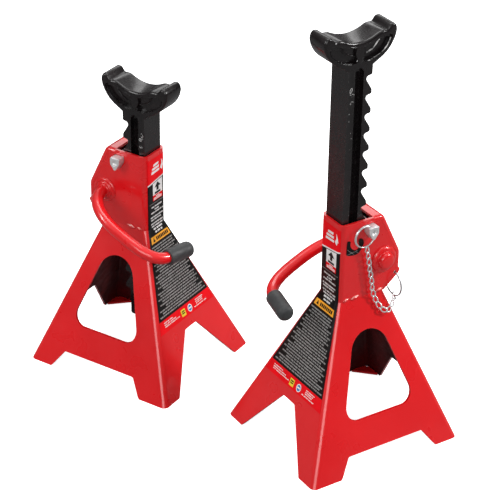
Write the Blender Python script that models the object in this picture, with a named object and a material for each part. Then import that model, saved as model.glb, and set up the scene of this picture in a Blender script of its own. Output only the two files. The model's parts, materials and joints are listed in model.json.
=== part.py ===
"""A pair of ratchet axle jack stands, one raised and one lowered.

Each stand is a folded sheet-steel base with a narrow tower, a cast ratchet
column that slides in the tower, a pawl turned by a bent lift handle, and a
wedge-shaped lock bar on a chain that drops under a tooth as the second lock.

Local axes of one stand: +Z up, -Y towards the labelled front, +Y towards the
toothed rear, -X the handle side and +X the chain side.  The origin is on the
floor.  Dimensions are in millimetres; the finished objects are in metres.
"""
import math

import bmesh
import bpy
from mathutils import Vector

MM = 0.001

# ---------------------------------------------------------------- shared sizes
STAND_X = 101.7        # half the distance between the stands along X
STAND_Y = 63.8         # half the distance between the stands along Y
RAISED_YAW = -57.2     # degrees about Z
LOWERED_YAW = 57.6
LOWERED_NOTCHES = 6    # notches the second column is lowered by

SHEET = 2.5            # sheet thickness
GAP = 0.3              # clearance between touching pieces
PLATE_CLEARANCE = 0.35  # clearance of the openings for the axle and the lock bar
BASE_HX = 74.5         # half width over the feet
BASE_HY = 84.0         # half depth over the feet
TOWER_HX = 16.6        # half width of the tower
HOUSING_HX = TOWER_HX - SHEET - GAP   # half width of what fits between the plates
FRONT_Y = 22.1         # the front face of the tower is at y = -FRONT_Y
REAR_Y = 29.2          # top edge of the rear leg panel
WAIST_Z = 153.6        # where the legs flare out of the tower
TOWER_Z = 234.5        # top of the tower
BEND_OUT = 5.0         # outside radius of the folded corners
BEND_IN = 1.5          # inside radius of the folded corners

# corners (y, z) of the ears, where the side plates run on behind the tower
EAR_TOP = (25.5, TOWER_Z)
EAR_UPPER = (46.5, 190.3)
EAR_LOWER = (46.5, 168.2)
EAR_FOOT = (REAR_Y, WAIST_Z)

AXLE_Y, AXLE_Z = 27.0, 187.0
ROD_R = 5.75                          # handle rod, which is also the axle
BORE_R = ROD_R + GAP                  # bore of the pieces on the rod
PLATE_HOLE_R = ROD_R + PLATE_CLEARANCE
KEY_BORE_R = 2.3                      # cross bore for the roll pin
RING_R, RING_WIRE = 10.6, 0.75        # both chain rings

THROUGH_TOWER = 40.0   # half length of cutters that pass through the tower
THROUGH_BASE = 120.0   # half length of cutters that pass through the legs
OVERLAP = 0.001        # overlap of the tower and the legs where they join

SIDES = (("handle_side", -1), ("chain_side", 1))

LOOKS = {
    "red_paint": dict(color=(0.72, 0.02, 0.02), roughness=0.25, metallic=0.0),
    "weld": dict(color=(0.60, 0.02, 0.02), roughness=0.45, metallic=0.0),
    "black_cast": dict(color=(0.02, 0.02, 0.022), roughness=0.4, metallic=0.0),
    "zinc": dict(color=(0.75, 0.76, 0.78), roughness=0.3, metallic=1.0),
    "steel": dict(color=(0.45, 0.45, 0.46), roughness=0.4, metallic=1.0),
    "rubber": dict(color=(0.05, 0.05, 0.055), roughness=0.6, metallic=0.0),
    "label": dict(color=(0.04, 0.04, 0.04), roughness=0.35, metallic=0.0),
}


# ================================================================ scene
def clear_scene():
    for ob in list(bpy.data.objects):
        bpy.data.objects.remove(ob, do_unlink=True)
    for mesh in list(bpy.data.meshes):
        bpy.data.meshes.remove(mesh)


def make_material(name, color, roughness, metallic):
    mat = bpy.data.materials.new(name)
    mat.use_nodes = True
    inputs = mat.node_tree.nodes["Principled BSDF"].inputs
    inputs["Base Color"].default_value = (*color, 1)
    inputs["Roughness"].default_value = roughness
    inputs["Metallic"].default_value = metallic
    return mat


def add_boolean(target, tool, operation="DIFFERENCE"):
    mod = target.modifiers.new(tool.name, "BOOLEAN")
    mod.object = tool
    mod.operation = operation
    mod.solver = "EXACT"


class Stand:
    """The frame of one stand, which names and parents its pieces."""

    def __init__(self, number, x, y, yaw, lift):
        self.prefix = f"stand{number}_"
        self.lift = lift               # height of the column relative to fully raised
        self.frame = bpy.data.objects.new(self.prefix + "frame", None)
        bpy.context.scene.collection.objects.link(self.frame)
        self.frame.location = (x * MM, y * MM, 0)
        self.frame.rotation_euler = (0, 0, math.radians(yaw))

    def add(self, name, bm):
        """Turn a bmesh in millimetres into a child object in metres."""
        bmesh.ops.scale(bm, vec=(MM, MM, MM), verts=bm.verts)
        bmesh.ops.remove_doubles(bm, verts=bm.verts, dist=1e-6)
        bmesh.ops.recalc_face_normals(bm, faces=bm.faces)
        mesh = bpy.data.meshes.new(self.prefix + name)
        bm.to_mesh(mesh)
        bm.free()
        ob = bpy.data.objects.new(self.prefix + name, mesh)
        bpy.context.scene.collection.objects.link(ob)
        ob.parent = self.frame
        return ob

    def part(self, name, bm, look, sharp_angle=None):
        """A visible piece, smooth below sharp_angle degrees if that is given."""
        ob = self.add(name, bm)
        ob.data.materials.append(make_material(f"{ob.name}_{look}", **LOOKS[look]))
        if sharp_angle:
            ob.data.shade_smooth()
            ob.data.set_sharp_from_angle(angle=math.radians(sharp_angle))
        return ob

    def helper(self, name, bm):
        """A hidden operand of a boolean."""
        ob = self.add(name, bm)
        ob.hide_render = True
        ob.display_type = "WIRE"
        return ob

    def cut(self, target, name, bm, operation="DIFFERENCE"):
        add_boolean(target, self.helper(name, bm), operation)


# ================================================================ outlines
def disc(cx, cy, radius, count):
    return [(cx + radius * math.cos(2 * math.pi * i / count),
             cy + radius * math.sin(2 * math.pi * i / count)) for i in range(count)]


def round_corner(before, corner, after, radius, steps):
    """Points of an arc that rounds one corner of an outline."""
    corner = Vector(corner)
    to_before = (Vector(before) - corner).normalized()
    to_after = (Vector(after) - corner).normalized()
    half = math.acos(max(-1, min(1, to_before.dot(to_after)))) / 2
    setback = radius / math.tan(half)
    centre = corner + (to_before + to_after).normalized() * (radius / math.sin(half))
    first, last = corner + to_before * setback, corner + to_after * setback
    start = math.atan2(first.y - centre.y, first.x - centre.x)
    end = math.atan2(last.y - centre.y, last.x - centre.x)
    sweep = (end - start + math.pi) % (2 * math.pi) - math.pi
    return [(centre.x + radius * math.cos(start + sweep * i / steps),
             centre.y + radius * math.sin(start + sweep * i / steps))
            for i in range(steps + 1)]


def rounded(points, radii, steps):
    """A closed outline with its corners rounded; a radius of 0 keeps the corner."""
    out = []
    for i, (point, radius) in enumerate(zip(points, radii)):
        if radius <= 0:
            out.append(tuple(point))
        else:
            after = points[(i + 1) % len(points)]
            out += round_corner(points[i - 1], point, after, radius, steps)
    return out


def parallel(points, offset):
    """An open polyline moved sideways, to the right of its direction."""
    lines = []
    for a, b in zip(points, points[1:]):
        along = (Vector(b) - Vector(a)).normalized()
        shift = Vector((along.y, -along.x)) * offset
        lines.append((Vector(a) + shift, Vector(b) + shift))
    out = [lines[0][0]]
    for (a, b), (c, d) in zip(lines, lines[1:]):
        u, v, w = b - a, d - c, c - a
        out.append(a + u * ((w.x * v.y - w.y * v.x) / (u.x * v.y - u.y * v.x)))
    return out + [lines[-1][1]]


def raised(points, lift):
    return [(y, z + lift) for y, z in points]


# ================================================================ solids
def prism(outline, axis, start, end, bm=None):
    """Extrude a closed outline along an axis, into bm if that is given.
    The outline is (y, z) for X, (x, z) for Y and (x, y) for Z."""
    if bm is None:
        bm = bmesh.new()
    slot = "XYZ".index(axis)
    low, high = [[bm.verts.new((*p[:slot], w, *p[slot:])) for p in outline]
                 for w in (start, end)]
    bm.faces.new(low)
    bm.faces.new(list(reversed(high)))
    n = len(outline)
    for i in range(n):
        bm.faces.new((low[i], low[(i + 1) % n], high[(i + 1) % n], high[i]))
    return bm


def loft(rings, closed=False):
    """Skin over rings of points: capped at both ends, or closed into a loop."""
    bm = bmesh.new()
    loops = [[bm.verts.new(p) for p in ring] for ring in rings]
    n = len(loops[0])
    following = loops[1:] + loops[:1] if closed else loops[1:]
    for a, b in zip(loops, following):
        for i in range(n):
            bm.faces.new((a[i], a[(i + 1) % n], b[(i + 1) % n], b[i]))
    if not closed:
        bm.faces.new(loops[0])
        bm.faces.new(list(reversed(loops[-1])))
    return bm


def circle(centre, side, up, radius, count):
    return [centre + (side * math.cos(w) + up * math.sin(w)) * radius
            for w in (2 * math.pi * k / count for k in range(count))]


def tube(path, radius, segments):
    """Round bar along a path of points, with flat ends."""
    path = [Vector(p) for p in path]
    last = len(path) - 1
    tangents = [(path[min(i + 1, last)] - path[max(i - 1, 0)]).normalized()
                for i in range(len(path))]
    side = tangents[0].orthogonal().normalized()
    rings = []
    for point, tangent in zip(path, tangents):
        side = (side - tangent * side.dot(tangent)).normalized()
        rings.append(circle(point, side, tangent.cross(side), radius, segments))
    return loft(rings)


def chain_ring(centre, normal):
    """A wire ring."""
    centre, normal = Vector(centre), Vector(normal)
    a = normal.orthogonal().normalized()
    rings = []
    for middle in circle(centre, a, normal.cross(a), RING_R, 24):
        outward = (middle - centre).normalized()
        rings.append(circle(middle, outward, normal, RING_WIRE, 6))
    return loft(rings, closed=True)


def axle_rings(profile):
    """Circles round the axle from a profile of (x, radius)."""
    return [[(x, y, z) for y, z in disc(AXLE_Y, AXLE_Z, radius, 16)]
            for x, radius in profile]


def axle_washer(start, end, radius):
    profile = ((start, BORE_R), (start, radius), (end, radius), (end, BORE_R))
    return loft(axle_rings(profile), closed=True)


def cross_pin(radius, half_length):
    """Upright round bar through the middle of the axle."""
    ends = [(0, AXLE_Y, AXLE_Z + s * half_length) for s in (-1, 1)]
    return tube(ends, radius, 10)


# ================================================================ base shell
# window in each side panel
WIN_Y, WIN_SLOPE = 3.4, 0.335         # centre and edge slope (dy per dz)
WIN_Z, WIN_HW = 46.7, 41.4            # sill height and half width at the sill
WIN_R_LOW, WIN_R_TOP = 12.0, 21.5     # corner radii

# notch under each side panel, between the front and rear feet
FOOT_FRONT, FOOT_REAR = -52.9, 59.0
RAIL_Y0, RAIL_Y1, RAIL_Z = -39.6, 44.4, 18.2
TOE_Z = 2.2                           # height of the small step at each foot

# arch under the front and rear panels: half widths at floor and crown, crown height
ARCH_FOOT, ARCH_TOP, ARCH_Z = 50.0, 9.5, 51.9
BELOW = 3.0                           # cutters start this far below the floor

INNER_INSET = SHEET * 1.07            # level thickness of the sloping sheet
SEAM_HW, SEAM_Z0 = 0.4, 40.0          # seam half width and lower end
CHAIN_HOLE_Y, CHAIN_HOLE_Z, CHAIN_HOLE_R = 41.2, 168.6, 1.6


def flare(top, foot, z):
    return top + (foot - top) * (1 - z / WAIST_Z)


def half_x(z):
    return flare(TOWER_HX, BASE_HX, z)


def front_y(z):
    return -flare(FRONT_Y, BASE_HY, z)


def rear_y(z):
    return flare(REAR_Y, BASE_HY, z)


def leg_ring(z, inset, radius):
    """Level section through the legs, inset from their outer faces."""
    hx, y0, y1 = half_x(z) - inset, front_y(z) + inset, rear_y(z) - inset
    corners = [(-hx, y0), (hx, y0), (hx, y1), (-hx, y1)]
    return [(x, y, z) for x, y in rounded(corners, [radius] * 4, 2)]


def fold_line(inset, radius):
    """Plan of the tower fold, from the +X rear end round the front to -X."""
    hx, front, back = TOWER_HX - inset, -FRONT_Y + inset, EAR_UPPER[0] + 6
    corner = round_corner((-hx, front), (hx, front), (hx, back), radius, 3)
    half = [(hx, back)] + corner[::-1]
    return half + [(-x, y) for x, y in reversed(half)]


def add_tower(stand, shell):
    """U-shaped fold whose side plates run back into the ears."""
    plan = fold_line(0, BEND_OUT) + fold_line(SHEET, BEND_IN)[::-1]
    foot_z = WAIST_Z - OVERLAP
    tower = stand.helper("tower_fold", prism(plan, "Z", foot_z, TOWER_Z + 4))
    clear_y = -FRONT_Y - 5
    side = [(clear_y, foot_z), (clear_y, TOWER_Z), EAR_TOP, EAR_UPPER, EAR_LOWER,
            (EAR_FOOT[0], EAR_FOOT[1] - OVERLAP)]
    side = rounded(side, [0, 0, 4.0, 12.0, 8.0, 0], 3)
    stand.cut(tower, "cut_outline",
              prism(side, "X", -THROUGH_TOWER, THROUGH_TOWER), "INTERSECT")
    add_boolean(shell, tower, "UNION")


def base_shell(stand):
    outside = [leg_ring(z, 0, BEND_OUT) for z in (0, WAIST_Z)]
    shell = stand.part("base_shell", loft(outside), "red_paint", 35)

    throat = leg_ring(WAIST_Z, SHEET, BEND_IN)
    inside = [leg_ring(-4, INNER_INSET, BEND_IN), throat,
              [(x, y, z + 3) for x, y, z in throat]]
    stand.cut(shell, "cut_inside", loft(inside))
    add_tower(stand, shell)

    window = [(WIN_Y - WIN_HW, WIN_Z), (WIN_Y + WIN_HW, WIN_Z),
              (WIN_Y, WIN_Z + WIN_HW / WIN_SLOPE)]
    window = rounded(window, [WIN_R_LOW, WIN_R_LOW, WIN_R_TOP], 5)
    rail = [(FOOT_FRONT - 1.0, -BELOW), (FOOT_FRONT, 0.0), (FOOT_FRONT + 3.4, TOE_Z),
            (RAIL_Y0, RAIL_Z), (RAIL_Y1, RAIL_Z),
            (FOOT_REAR - 3.0, TOE_Z), (FOOT_REAR, 0.0), (FOOT_REAR + 1.0, -BELOW)]
    arch_low = ARCH_FOOT + BELOW * (ARCH_FOOT - ARCH_TOP) / ARCH_Z
    arch = [(-arch_low, -BELOW), (-ARCH_TOP, ARCH_Z), (ARCH_TOP, ARCH_Z),
            (arch_low, -BELOW)]
    seam_top = WAIST_Z + 2
    seam = [(-SEAM_HW, SEAM_Z0), (SEAM_HW, SEAM_Z0), (SEAM_HW, seam_top),
            (-SEAM_HW, seam_top)]
    axle_hole = disc(AXLE_Y, AXLE_Z, PLATE_HOLE_R, 16)
    chain_hole = disc(CHAIN_HOLE_Y, CHAIN_HOLE_Z, CHAIN_HOLE_R, 10)
    # name, outline, axis, start, end
    for name, outline, axis, start, end in (
            ("window", window, "X", -THROUGH_BASE, THROUGH_BASE),
            ("rail", rail, "X", -THROUGH_BASE, THROUGH_BASE),
            ("arch", arch, "Y", -THROUGH_BASE, THROUGH_BASE),
            ("seam", seam, "Y", 20, 110),               # rear panel only
            ("slot", bar_outline(PLATE_CLEARANCE), "X", -THROUGH_TOWER, THROUGH_TOWER),
            ("axle", axle_hole, "X", -THROUGH_TOWER, THROUGH_TOWER),
            ("chain_hole", chain_hole, "X", 5, THROUGH_TOWER)):   # +X ear only
        stand.cut(shell, "cut_" + name, prism(outline, axis, start, end))


# ================================================================ fittings on the base
SOLE_LEVEL = 2.5                      # height at which the soles are fitted to the legs
SOLE_INSET = SHEET * 1.08 + GAP
SOLE_THICK = 2.2
SOLE_CHAMFER = 4.0
SOLE_LAP = 2.0                        # distance of the plate from the ends of its foot

SEAM_WELD_STEPS = 8
SEAM_WELD_HW, SEAM_WELD_END_HW = 2.1, 1.2
SEAM_WELD_HEIGHT = 1.1

COVER_LIP = 14.0                      # front edge of the strap's flat top
COVER_END_Z = 176.0
COVER_INSET = 0.6                     # strap face inside the edge of the ears
COVER_R_TOP, COVER_R_BACK = 7.0, 12.0

GUIDE_Z0, GUIDE_Z1 = 128.0, 151.0
GUIDE_FLANGE = 7.0
GUIDE_INSET = SHEET * 1.1 + GAP + 0.2

STUD_Y, STUD_Z, STUD_R, STUD_X = -8.4, 167.0, 2.5, 5.2   # STUD_X is the inner end


def sole_plates(stand):
    """Plates that close the bottom of each folded leg."""
    hx = half_x(SOLE_LEVEL) - SOLE_INSET
    hy = -front_y(SOLE_LEVEL) - SOLE_INSET
    for end, sy, foot in (("front", -1, -FOOT_FRONT), ("rear", 1, FOOT_REAR)):
        corners = [(ARCH_FOOT + SOLE_LAP, hy), (hx - SOLE_CHAMFER, hy),
                   (hx, hy - SOLE_CHAMFER), (hx, foot + SOLE_LAP)]
        for side, sx in SIDES:
            plate = prism([(sx * x, sy * y) for x, y in corners], "Z", 0.0, SOLE_THICK)
            stand.part(f"sole_plate_{end}_{side}", plate, "red_paint")


def rear_seam_weld(stand):
    """Bead along the seam of the rear panel, narrower at its ends."""
    z0, z1 = ARCH_Z + 3, WAIST_Z - 3
    normal = Vector((0, 1, (BASE_HY - REAR_Y) / WAIST_Z)).normalized()
    rings = []
    for i in range(SEAM_WELD_STEPS + 1):
        z = z0 + (z1 - z0) * i / SEAM_WELD_STEPS
        foot = Vector((0, rear_y(z), z)) + normal * GAP
        hw = SEAM_WELD_HW if 0 < i < SEAM_WELD_STEPS else SEAM_WELD_END_HW
        rings.append([foot + Vector((hw * share, 0, 0)) + normal * height
                      for share, height in ((1, 0), (0.6, SEAM_WELD_HEIGHT),
                                            (-0.6, SEAM_WELD_HEIGHT), (-1, 0))])
    stand.part("rear_seam_weld", loft(rings), "weld", 50)


def rear_cover(stand):
    """Strap that closes the pawl housing: a flat top, then down between the ears."""
    def bent(line, inset):
        return ([line[0]] + round_corner(*line[:3], COVER_R_TOP - inset, 4)
                + round_corner(*line[1:], COVER_R_BACK - inset, 4) + [line[3]])

    edge = [(COVER_LIP, TOWER_Z), EAR_TOP, EAR_UPPER, (EAR_UPPER[0], COVER_END_Z)]
    outer = parallel(edge, COVER_INSET)
    inner = parallel(outer, SHEET)
    outline = bent(outer, 0) + bent(inner, SHEET)[::-1]
    stand.part("rear_cover", prism(outline, "X", -HOUSING_HX, HOUSING_HX), "red_paint", 35)
    # a fillet bead along the inside of each edge of the strap
    face = inner[3].x
    corner = HOUSING_HX - 0.1
    for side, s in SIDES:
        bead = [(s * corner, face - 0.3), (s * (corner - 2.3), face - 0.3),
                (s * corner, face - 2.6)]
        stand.part("cover_weld_" + side, prism(bead, "Z", 178.0, 186.0), "weld")


def column_guide(stand):
    """Folded channel behind the rack, just under the waist."""
    hw = half_x(GUIDE_Z1) - GUIDE_INSET
    y = TIP_Y + 0.6
    half = [(hw, y), (hw, y + GUIDE_FLANGE), (hw - SHEET, y + GUIDE_FLANGE),
            (hw - SHEET, y + SHEET)]
    mirror = [(-x, y) for x, y in reversed(half)]
    outline = mirror[-1:] + half + mirror[:-1]
    stand.part("column_guide", prism(outline, "Z", GUIDE_Z0, GUIDE_Z1), "red_paint")


def stop_studs(stand):
    for side, s in SIDES:
        stud = prism(disc(STUD_Y, STUD_Z, STUD_R, 12), "X", s * STUD_X, s * HOUSING_HX)
        stand.part("stop_stud_" + side, stud, "steel", 35)


# ================================================================ column
# heights are those of the fully raised column
COL_HX = 12.9
COL_FRONT = -19.0
COL_BOTTOM = 155.0
TIP_Y, ROOT_Y = 6.6, 0.4              # tooth tips and notch roots
COL_MID = (COL_FRONT + TIP_Y) / 2
PITCH = 18.6
LEDGE_TOP = 378.4                     # underside of the highest tooth
NOTCHES = 12
# one notch: (y, z from the ledge above it)
NOTCH = ((2.0, -0.4), (ROOT_Y, -2.2), (ROOT_Y + 0.5, -4.8), (TIP_Y, -14.6))

# saddle profiles: (distance from COL_MID, z from SADDLE_TOP)
SADDLE_TOP = 422.0
DISH_HALF, DISH_Z, DISH_RISE = 18.0, -10.6, 4.8
SADDLE_LIP = [(19.8, -5.2), (26.2, -5.5), (28.8, -2.6), (30.4, -0.7), (32.6, 0.0),
              (35.2, -0.6), (37.4, -2.8)]
SADDLE_UNDER = [(38.4, -6.2), (36.4, -13.4), (31.6, -21.3), (24.6, -27.4), (17.0, -32.0)]
POCKET = [(4.5, -16.0), (17.0, -12.6), (29.5, -8.6), (32.8, -10.6), (31.0, -15.6),
          (25.0, -21.6), (17.0, -26.4), (7.5, -30.5)]
POCKET_DEPTH = 4.0

CHANNEL_Y0, CHANNEL_Y1 = -13.2, -3.6
CHANNEL_Z0, CHANNEL_Z1 = 164.0, 380.0
WEB_HX = 4.2                          # half thickness left between the channels


def saddle_points(profile, side):
    return [(COL_MID + side * u, SADDLE_TOP + w) for u, w in profile]


def rack():
    """Toothed rear edge, from the shoulder down to the bottom end."""
    points = [(TIP_Y, LEDGE_TOP + 9.5)]
    for k in range(NOTCHES):
        ledge = LEDGE_TOP - k * PITCH
        points += [(TIP_Y, ledge)] + raised(NOTCH, ledge)
    return points + [(TIP_Y - 1.5, COL_BOTTOM)]


def column_outline():
    """From the front lip over the saddle, down the rack and up the front."""
    dish = [(DISH_HALF * i / 4, DISH_Z + DISH_RISE * (i / 4) ** 2) for i in range(5)]
    top = dish + SADDLE_LIP
    return (saddle_points(top[::-1], -1) + saddle_points(top[1:], 1)
            + saddle_points(SADDLE_UNDER, 1) + rack()
            + [(COL_FRONT + 1.5, COL_BOTTOM), (COL_FRONT, COL_BOTTOM + 2.0),
               (COL_FRONT, SADDLE_TOP - 37.5)]
            + saddle_points(SADDLE_UNDER[::-1], -1))


def ratchet_column(stand):
    lift = stand.lift
    body = prism(raised(column_outline(), lift), "X", -COL_HX, COL_HX)
    column = stand.part("ratchet_column", body, "black_cast", 30)
    channel = [(CHANNEL_Y0, CHANNEL_Z0), (CHANNEL_Y1, CHANNEL_Z0),
               (CHANNEL_Y1, CHANNEL_Z1), (CHANNEL_Y0, CHANNEL_Z1)]
    channel = rounded(raised(channel, lift), [2.5] * 4, 2)
    clear_x = COL_HX + 6
    for name, s in (("a", -1), ("b", 1)):
        # deep channel between the front flange and the rack
        stand.cut(column, "cut_channel_" + name, prism(channel, "X", s * WEB_HX, s * clear_x))
        # pockets in the side of the saddle, front and rear of the middle rib
        pockets = bmesh.new()
        for half in (-1, 1):
            outline = raised(saddle_points(POCKET, half), lift)
            prism(outline, "X", s * (COL_HX - POCKET_DEPTH), s * clear_x, pockets)
        stand.cut(column, "cut_pocket_" + name, pockets)


# ================================================================ pawl
PAWL_HX = 9.6
HUB_R = 10.6
SPACER_R, SPACER_LENGTH = 9.0, 2.5
# (y, z) of the arm, from the rear of its root round the nose to the front
PAWL_ARM = [(12.6, 204.6), (8.6, 206.9), (4.6, 206.0), (3.7, 204.8), (4.3, 202.4),
            (9.6, 194.6)]


def pawl(stand):
    """Hub on the axle with an arm whose nose sits in a notch."""
    hub = [(AXLE_Y + HUB_R * math.cos(w), AXLE_Z + HUB_R * math.sin(w))
           for w in (math.radians(-150 + 25 * k) for k in range(13))]
    body = stand.part("pawl", prism(hub + PAWL_ARM, "X", -PAWL_HX, PAWL_HX), "steel", 30)
    stand.cut(body, "cut_pawl_bore", prism(disc(AXLE_Y, AXLE_Z, BORE_R, 16), "X", -20, 20))
    stand.cut(body, "cut_pawl_key", cross_pin(KEY_BORE_R, 30))
    stand.part("pawl_roll_pin", cross_pin(2.0, 10.0), "steel", 40)
    start = PAWL_HX + GAP
    for side, s in SIDES:
        spacer = axle_washer(s * start, s * (start + SPACER_LENGTH), SPACER_R)
        stand.part("axle_spacer_" + side, spacer, "steel", 35)


# ================================================================ handle
HANDLE_DROP = math.radians(25.0)      # hang of the handle below the horizontal
WASHER_R, WASHER_THICK = 9.4, 2.0
# the handle's own plane is (x, distance forward from the axle)
GRIP_START = (-36.0, 95.4)
GRIP_RUN = (0.982 * 30.0, 0.190 * 30.0)
# Bezier control points of the two bends
HANDLE_BENDS = (
    ((-20.0, 0.0), (-36.0, 0.0), (-52.0, 15.0), (-52.6, 46.0)),
    ((-52.6, 46.0), (-53.2, 70.0), (-52.5, 90.0), GRIP_START),
)
BEND_STEPS = 7
GRIP_R = 8.0
GRIP_OFFSET = 1.0                     # open end of the grip past GRIP_START

# domed cap: (distance out from the tower plate, radius), from its blind bore
CAP_PROFILE = ((2.6, PLATE_HOLE_R), (0.4, PLATE_HOLE_R), (0.4, 12.0), (2.0, 11.4),
               (3.2, 9.4), (5.4, 6.6), (6.6, 3.2))


def handle_point(x, reach):
    return Vector((x, AXLE_Y - reach * math.cos(HANDLE_DROP),
                   AXLE_Z - reach * math.sin(HANDLE_DROP)))


def bezier(controls, steps):
    out = []
    for i in range(steps + 1):
        t = i / steps
        weights = ((1 - t) ** 3, 3 * t * (1 - t) ** 2, 3 * t * t * (1 - t), t ** 3)
        out.append(tuple(sum(w * c[k] for w, c in zip(weights, controls)) for k in range(2)))
    return out


def handle_path():
    """Centre line of the bent rod, from the chain side of the axle to the grip."""
    first, second = (bezier(bend, BEND_STEPS) for bend in HANDLE_BENDS)
    end = (GRIP_START[0] + GRIP_RUN[0], GRIP_START[1] + GRIP_RUN[1])
    points = [(TOWER_HX + 2.2, 0.0)] + first + second[1:] + [end]
    return [handle_point(x, reach) for x, reach in points]


def handle_grip(stand, rod_end):
    """Rubber sleeve, a blind tube over the end of the rod."""
    run = rod_end - handle_point(*GRIP_START)
    along, length = run.normalized(), run.length
    mouth = handle_point(*GRIP_START) + along * GRIP_OFFSET
    side = along.orthogonal().normalized()
    up = along.cross(side)
    # (distance from the mouth, radius), from the bottom of the bore
    profile = ((length - 0.6, BORE_R), (0, BORE_R), (0, GRIP_R - 0.7), (0.8, GRIP_R),
               (length + 1.2, GRIP_R), (length + 3.2, GRIP_R - 1.6))
    rings = [circle(mouth + along * w, side, up, radius, 14) for w, radius in profile]
    stand.part("handle_grip", loft(rings), "rubber", 40)


def handle(stand):
    path = handle_path()
    rod = stand.part("handle_rod", tube(path, ROD_R, 12), "red_paint", 40)
    stand.cut(rod, "cut_rod_key", cross_pin(KEY_BORE_R, 30))
    # washer between the bend of the handle and the tower plate
    start = TOWER_HX + GAP
    washer = axle_washer(-start, -(start + WASHER_THICK), WASHER_R)
    stand.part("handle_washer", washer, "red_paint", 35)
    # domed retaining cap on the far end of the axle
    cap = loft(axle_rings([(TOWER_HX + out, radius) for out, radius in CAP_PROFILE]))
    stand.part("axle_cap", cap, "red_paint", 40)
    handle_grip(stand, path[-1])


# ================================================================ lock bar and chain
BAR_TOP = 229.2
BAR_FRONT = 3.6
BAR_OUT = 8.0                         # how far the bar stands out of each plate
# section, flat on top and pointed below: y from BAR_FRONT, z from BAR_TOP,
# and how far each moves per unit of growth
BAR_SECTION = (
    (0.0, 0.0, -1.0, 1.0),
    (0.0, -5.6, -1.0, 1.0),
    (4.4, -12.9, -0.6, -1.0),
    (6.4, -13.2, 0.2, -1.0),
    (10.8, -7.2, 1.0, 0.5),
    (10.8, 0.0, 1.0, 1.0),
)
# centre of the ring that hangs on the bar's chain end
RING_X, RING_Y, RING_Z = TOWER_HX + 4.6, 1.2, 220.3
RING_ENTRY, RING_EXIT = 57.0, -20.0   # degrees round the ring where it meets the bar
CHAIN_POINTS = (
    (21.6, 4.2, 205.5), (21.6, 7.5, 191.5), (21.6, 11.3, 170.0), (22.4, 14.2, 152.0),
    (26.3, 20.8, 139.2), (27.3, 27.5, 136.6), (24.0, 35.6, 144.6),
)
CHAIN_STEPS = 3                       # steps between two chain points
CHAIN_R = 2.2


def bar_outline(grow=0.0):
    return [(BAR_FRONT + y + dy * grow, BAR_TOP + z + dz * grow)
            for y, z, dy, dz in BAR_SECTION]


def ring_at(degrees):
    w = math.radians(degrees)
    return Vector((RING_X, RING_Y + RING_R * math.cos(w), RING_Z + RING_R * math.sin(w)))


def lock_bar(stand):
    hx = TOWER_HX + BAR_OUT
    bar = stand.part("lock_bar", prism(bar_outline(), "X", -hx, hx), "zinc")
    # the ring goes in through the top of the bar and out under its rear slope
    top, low = ring_at(RING_ENTRY), ring_at(RING_EXIT)
    overrun = (low - top).normalized() * 8
    bow = (ring_at((RING_ENTRY + RING_EXIT) / 2) - (top + low) / 2) / 2
    stand.cut(bar, "cut_bar_hole", tube([top + bow - overrun, low + bow + overrun], 2.5, 14))
    stand.part("bar_ring", chain_ring((RING_X, RING_Y, RING_Z), (1, 0, 0)), "zinc", 50)


def chain_path():
    """Catmull-Rom curve from the bar's ring, down and rearwards, up to the anchor."""
    points = [Vector(p) for p in CHAIN_POINTS]
    points = [points[0] * 2 - points[1]] + points + [points[-1] * 2 - points[-2]]
    out = []
    for a, b, c, d in zip(points, points[1:], points[2:], points[3:]):
        for i in range(CHAIN_STEPS):
            t = i / CHAIN_STEPS
            out.append(0.5 * (2 * b + (c - a) * t + (2 * a - 5 * b + 4 * c - d) * t * t
                              + (3 * b - a - 3 * c + d) * t ** 3))
    return out + [points[-2]]


def chain(stand):
    stand.part("lock_chain", tube(chain_path(), CHAIN_R, 8), "zinc", 50)
    anchor = (TOWER_HX - SHEET / 2, CHAIN_HOLE_Y, CHAIN_HOLE_Z - 10.2)
    stand.part("anchor_ring", chain_ring(anchor, (0, 1, 0)), "zinc", 50)


# ================================================================ labels
LABEL_THICK = 0.25
LABEL_Z0, LABEL_Z1 = 57.0, TOWER_Z - 8.0
LABEL_HW_LOW, LABEL_HW_TOP = 41.0, TOWER_HX - BEND_OUT + 1.2
ROUND_LABEL_Y, ROUND_LABEL_Z, ROUND_LABEL_R = -7.0, 210.0, 9.2


def front_label(stand):
    """Label on the front face, folded over the waist."""
    upright = Vector((0, -1, 0))
    sloped = Vector((0, -1, (BASE_HY - FRONT_Y) / WAIST_Z)).normalized()
    mitre = (sloped + upright).normalized()
    mitre = mitre / mitre.dot(sloped)
    rings = []
    for z, hw, outward in ((LABEL_Z1, LABEL_HW_TOP, upright),
                           (WAIST_Z, LABEL_HW_TOP, mitre),
                           (LABEL_Z0, LABEL_HW_LOW, sloped)):
        centre = Vector((0, front_y(min(z, WAIST_Z)), z))
        back = centre + outward * GAP
        face = centre + outward * (GAP + LABEL_THICK)
        across = Vector((hw, 0, 0))
        rings.append([back - across, back + across, face + across, face - across])
    stand.part("front_label", loft(rings), "label")


def lock_label(stand):
    """Small round label on the chain side of the tower."""
    start = TOWER_HX + GAP
    outline = disc(ROUND_LABEL_Y, ROUND_LABEL_Z, ROUND_LABEL_R, 16)
    stand.part("lock_label", prism(outline, "X", start, start + LABEL_THICK), "label")


# ================================================================ assembly
def build_stand(number, x, y, yaw, notches):
    stand = Stand(number, x, y, yaw, lift=-notches * PITCH)
    for build in (base_shell, sole_plates, rear_seam_weld, rear_cover, column_guide,
                  stop_studs, ratchet_column, pawl, handle, lock_bar, chain,
                  front_label, lock_label):
        build(stand)


clear_scene()
build_stand(1, STAND_X, -STAND_Y, RAISED_YAW, notches=0)
build_stand(2, -STAND_X, STAND_Y, LOWERED_YAW, notches=LOWERED_NOTCHES)
bpy.context.view_layer.update()
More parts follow.
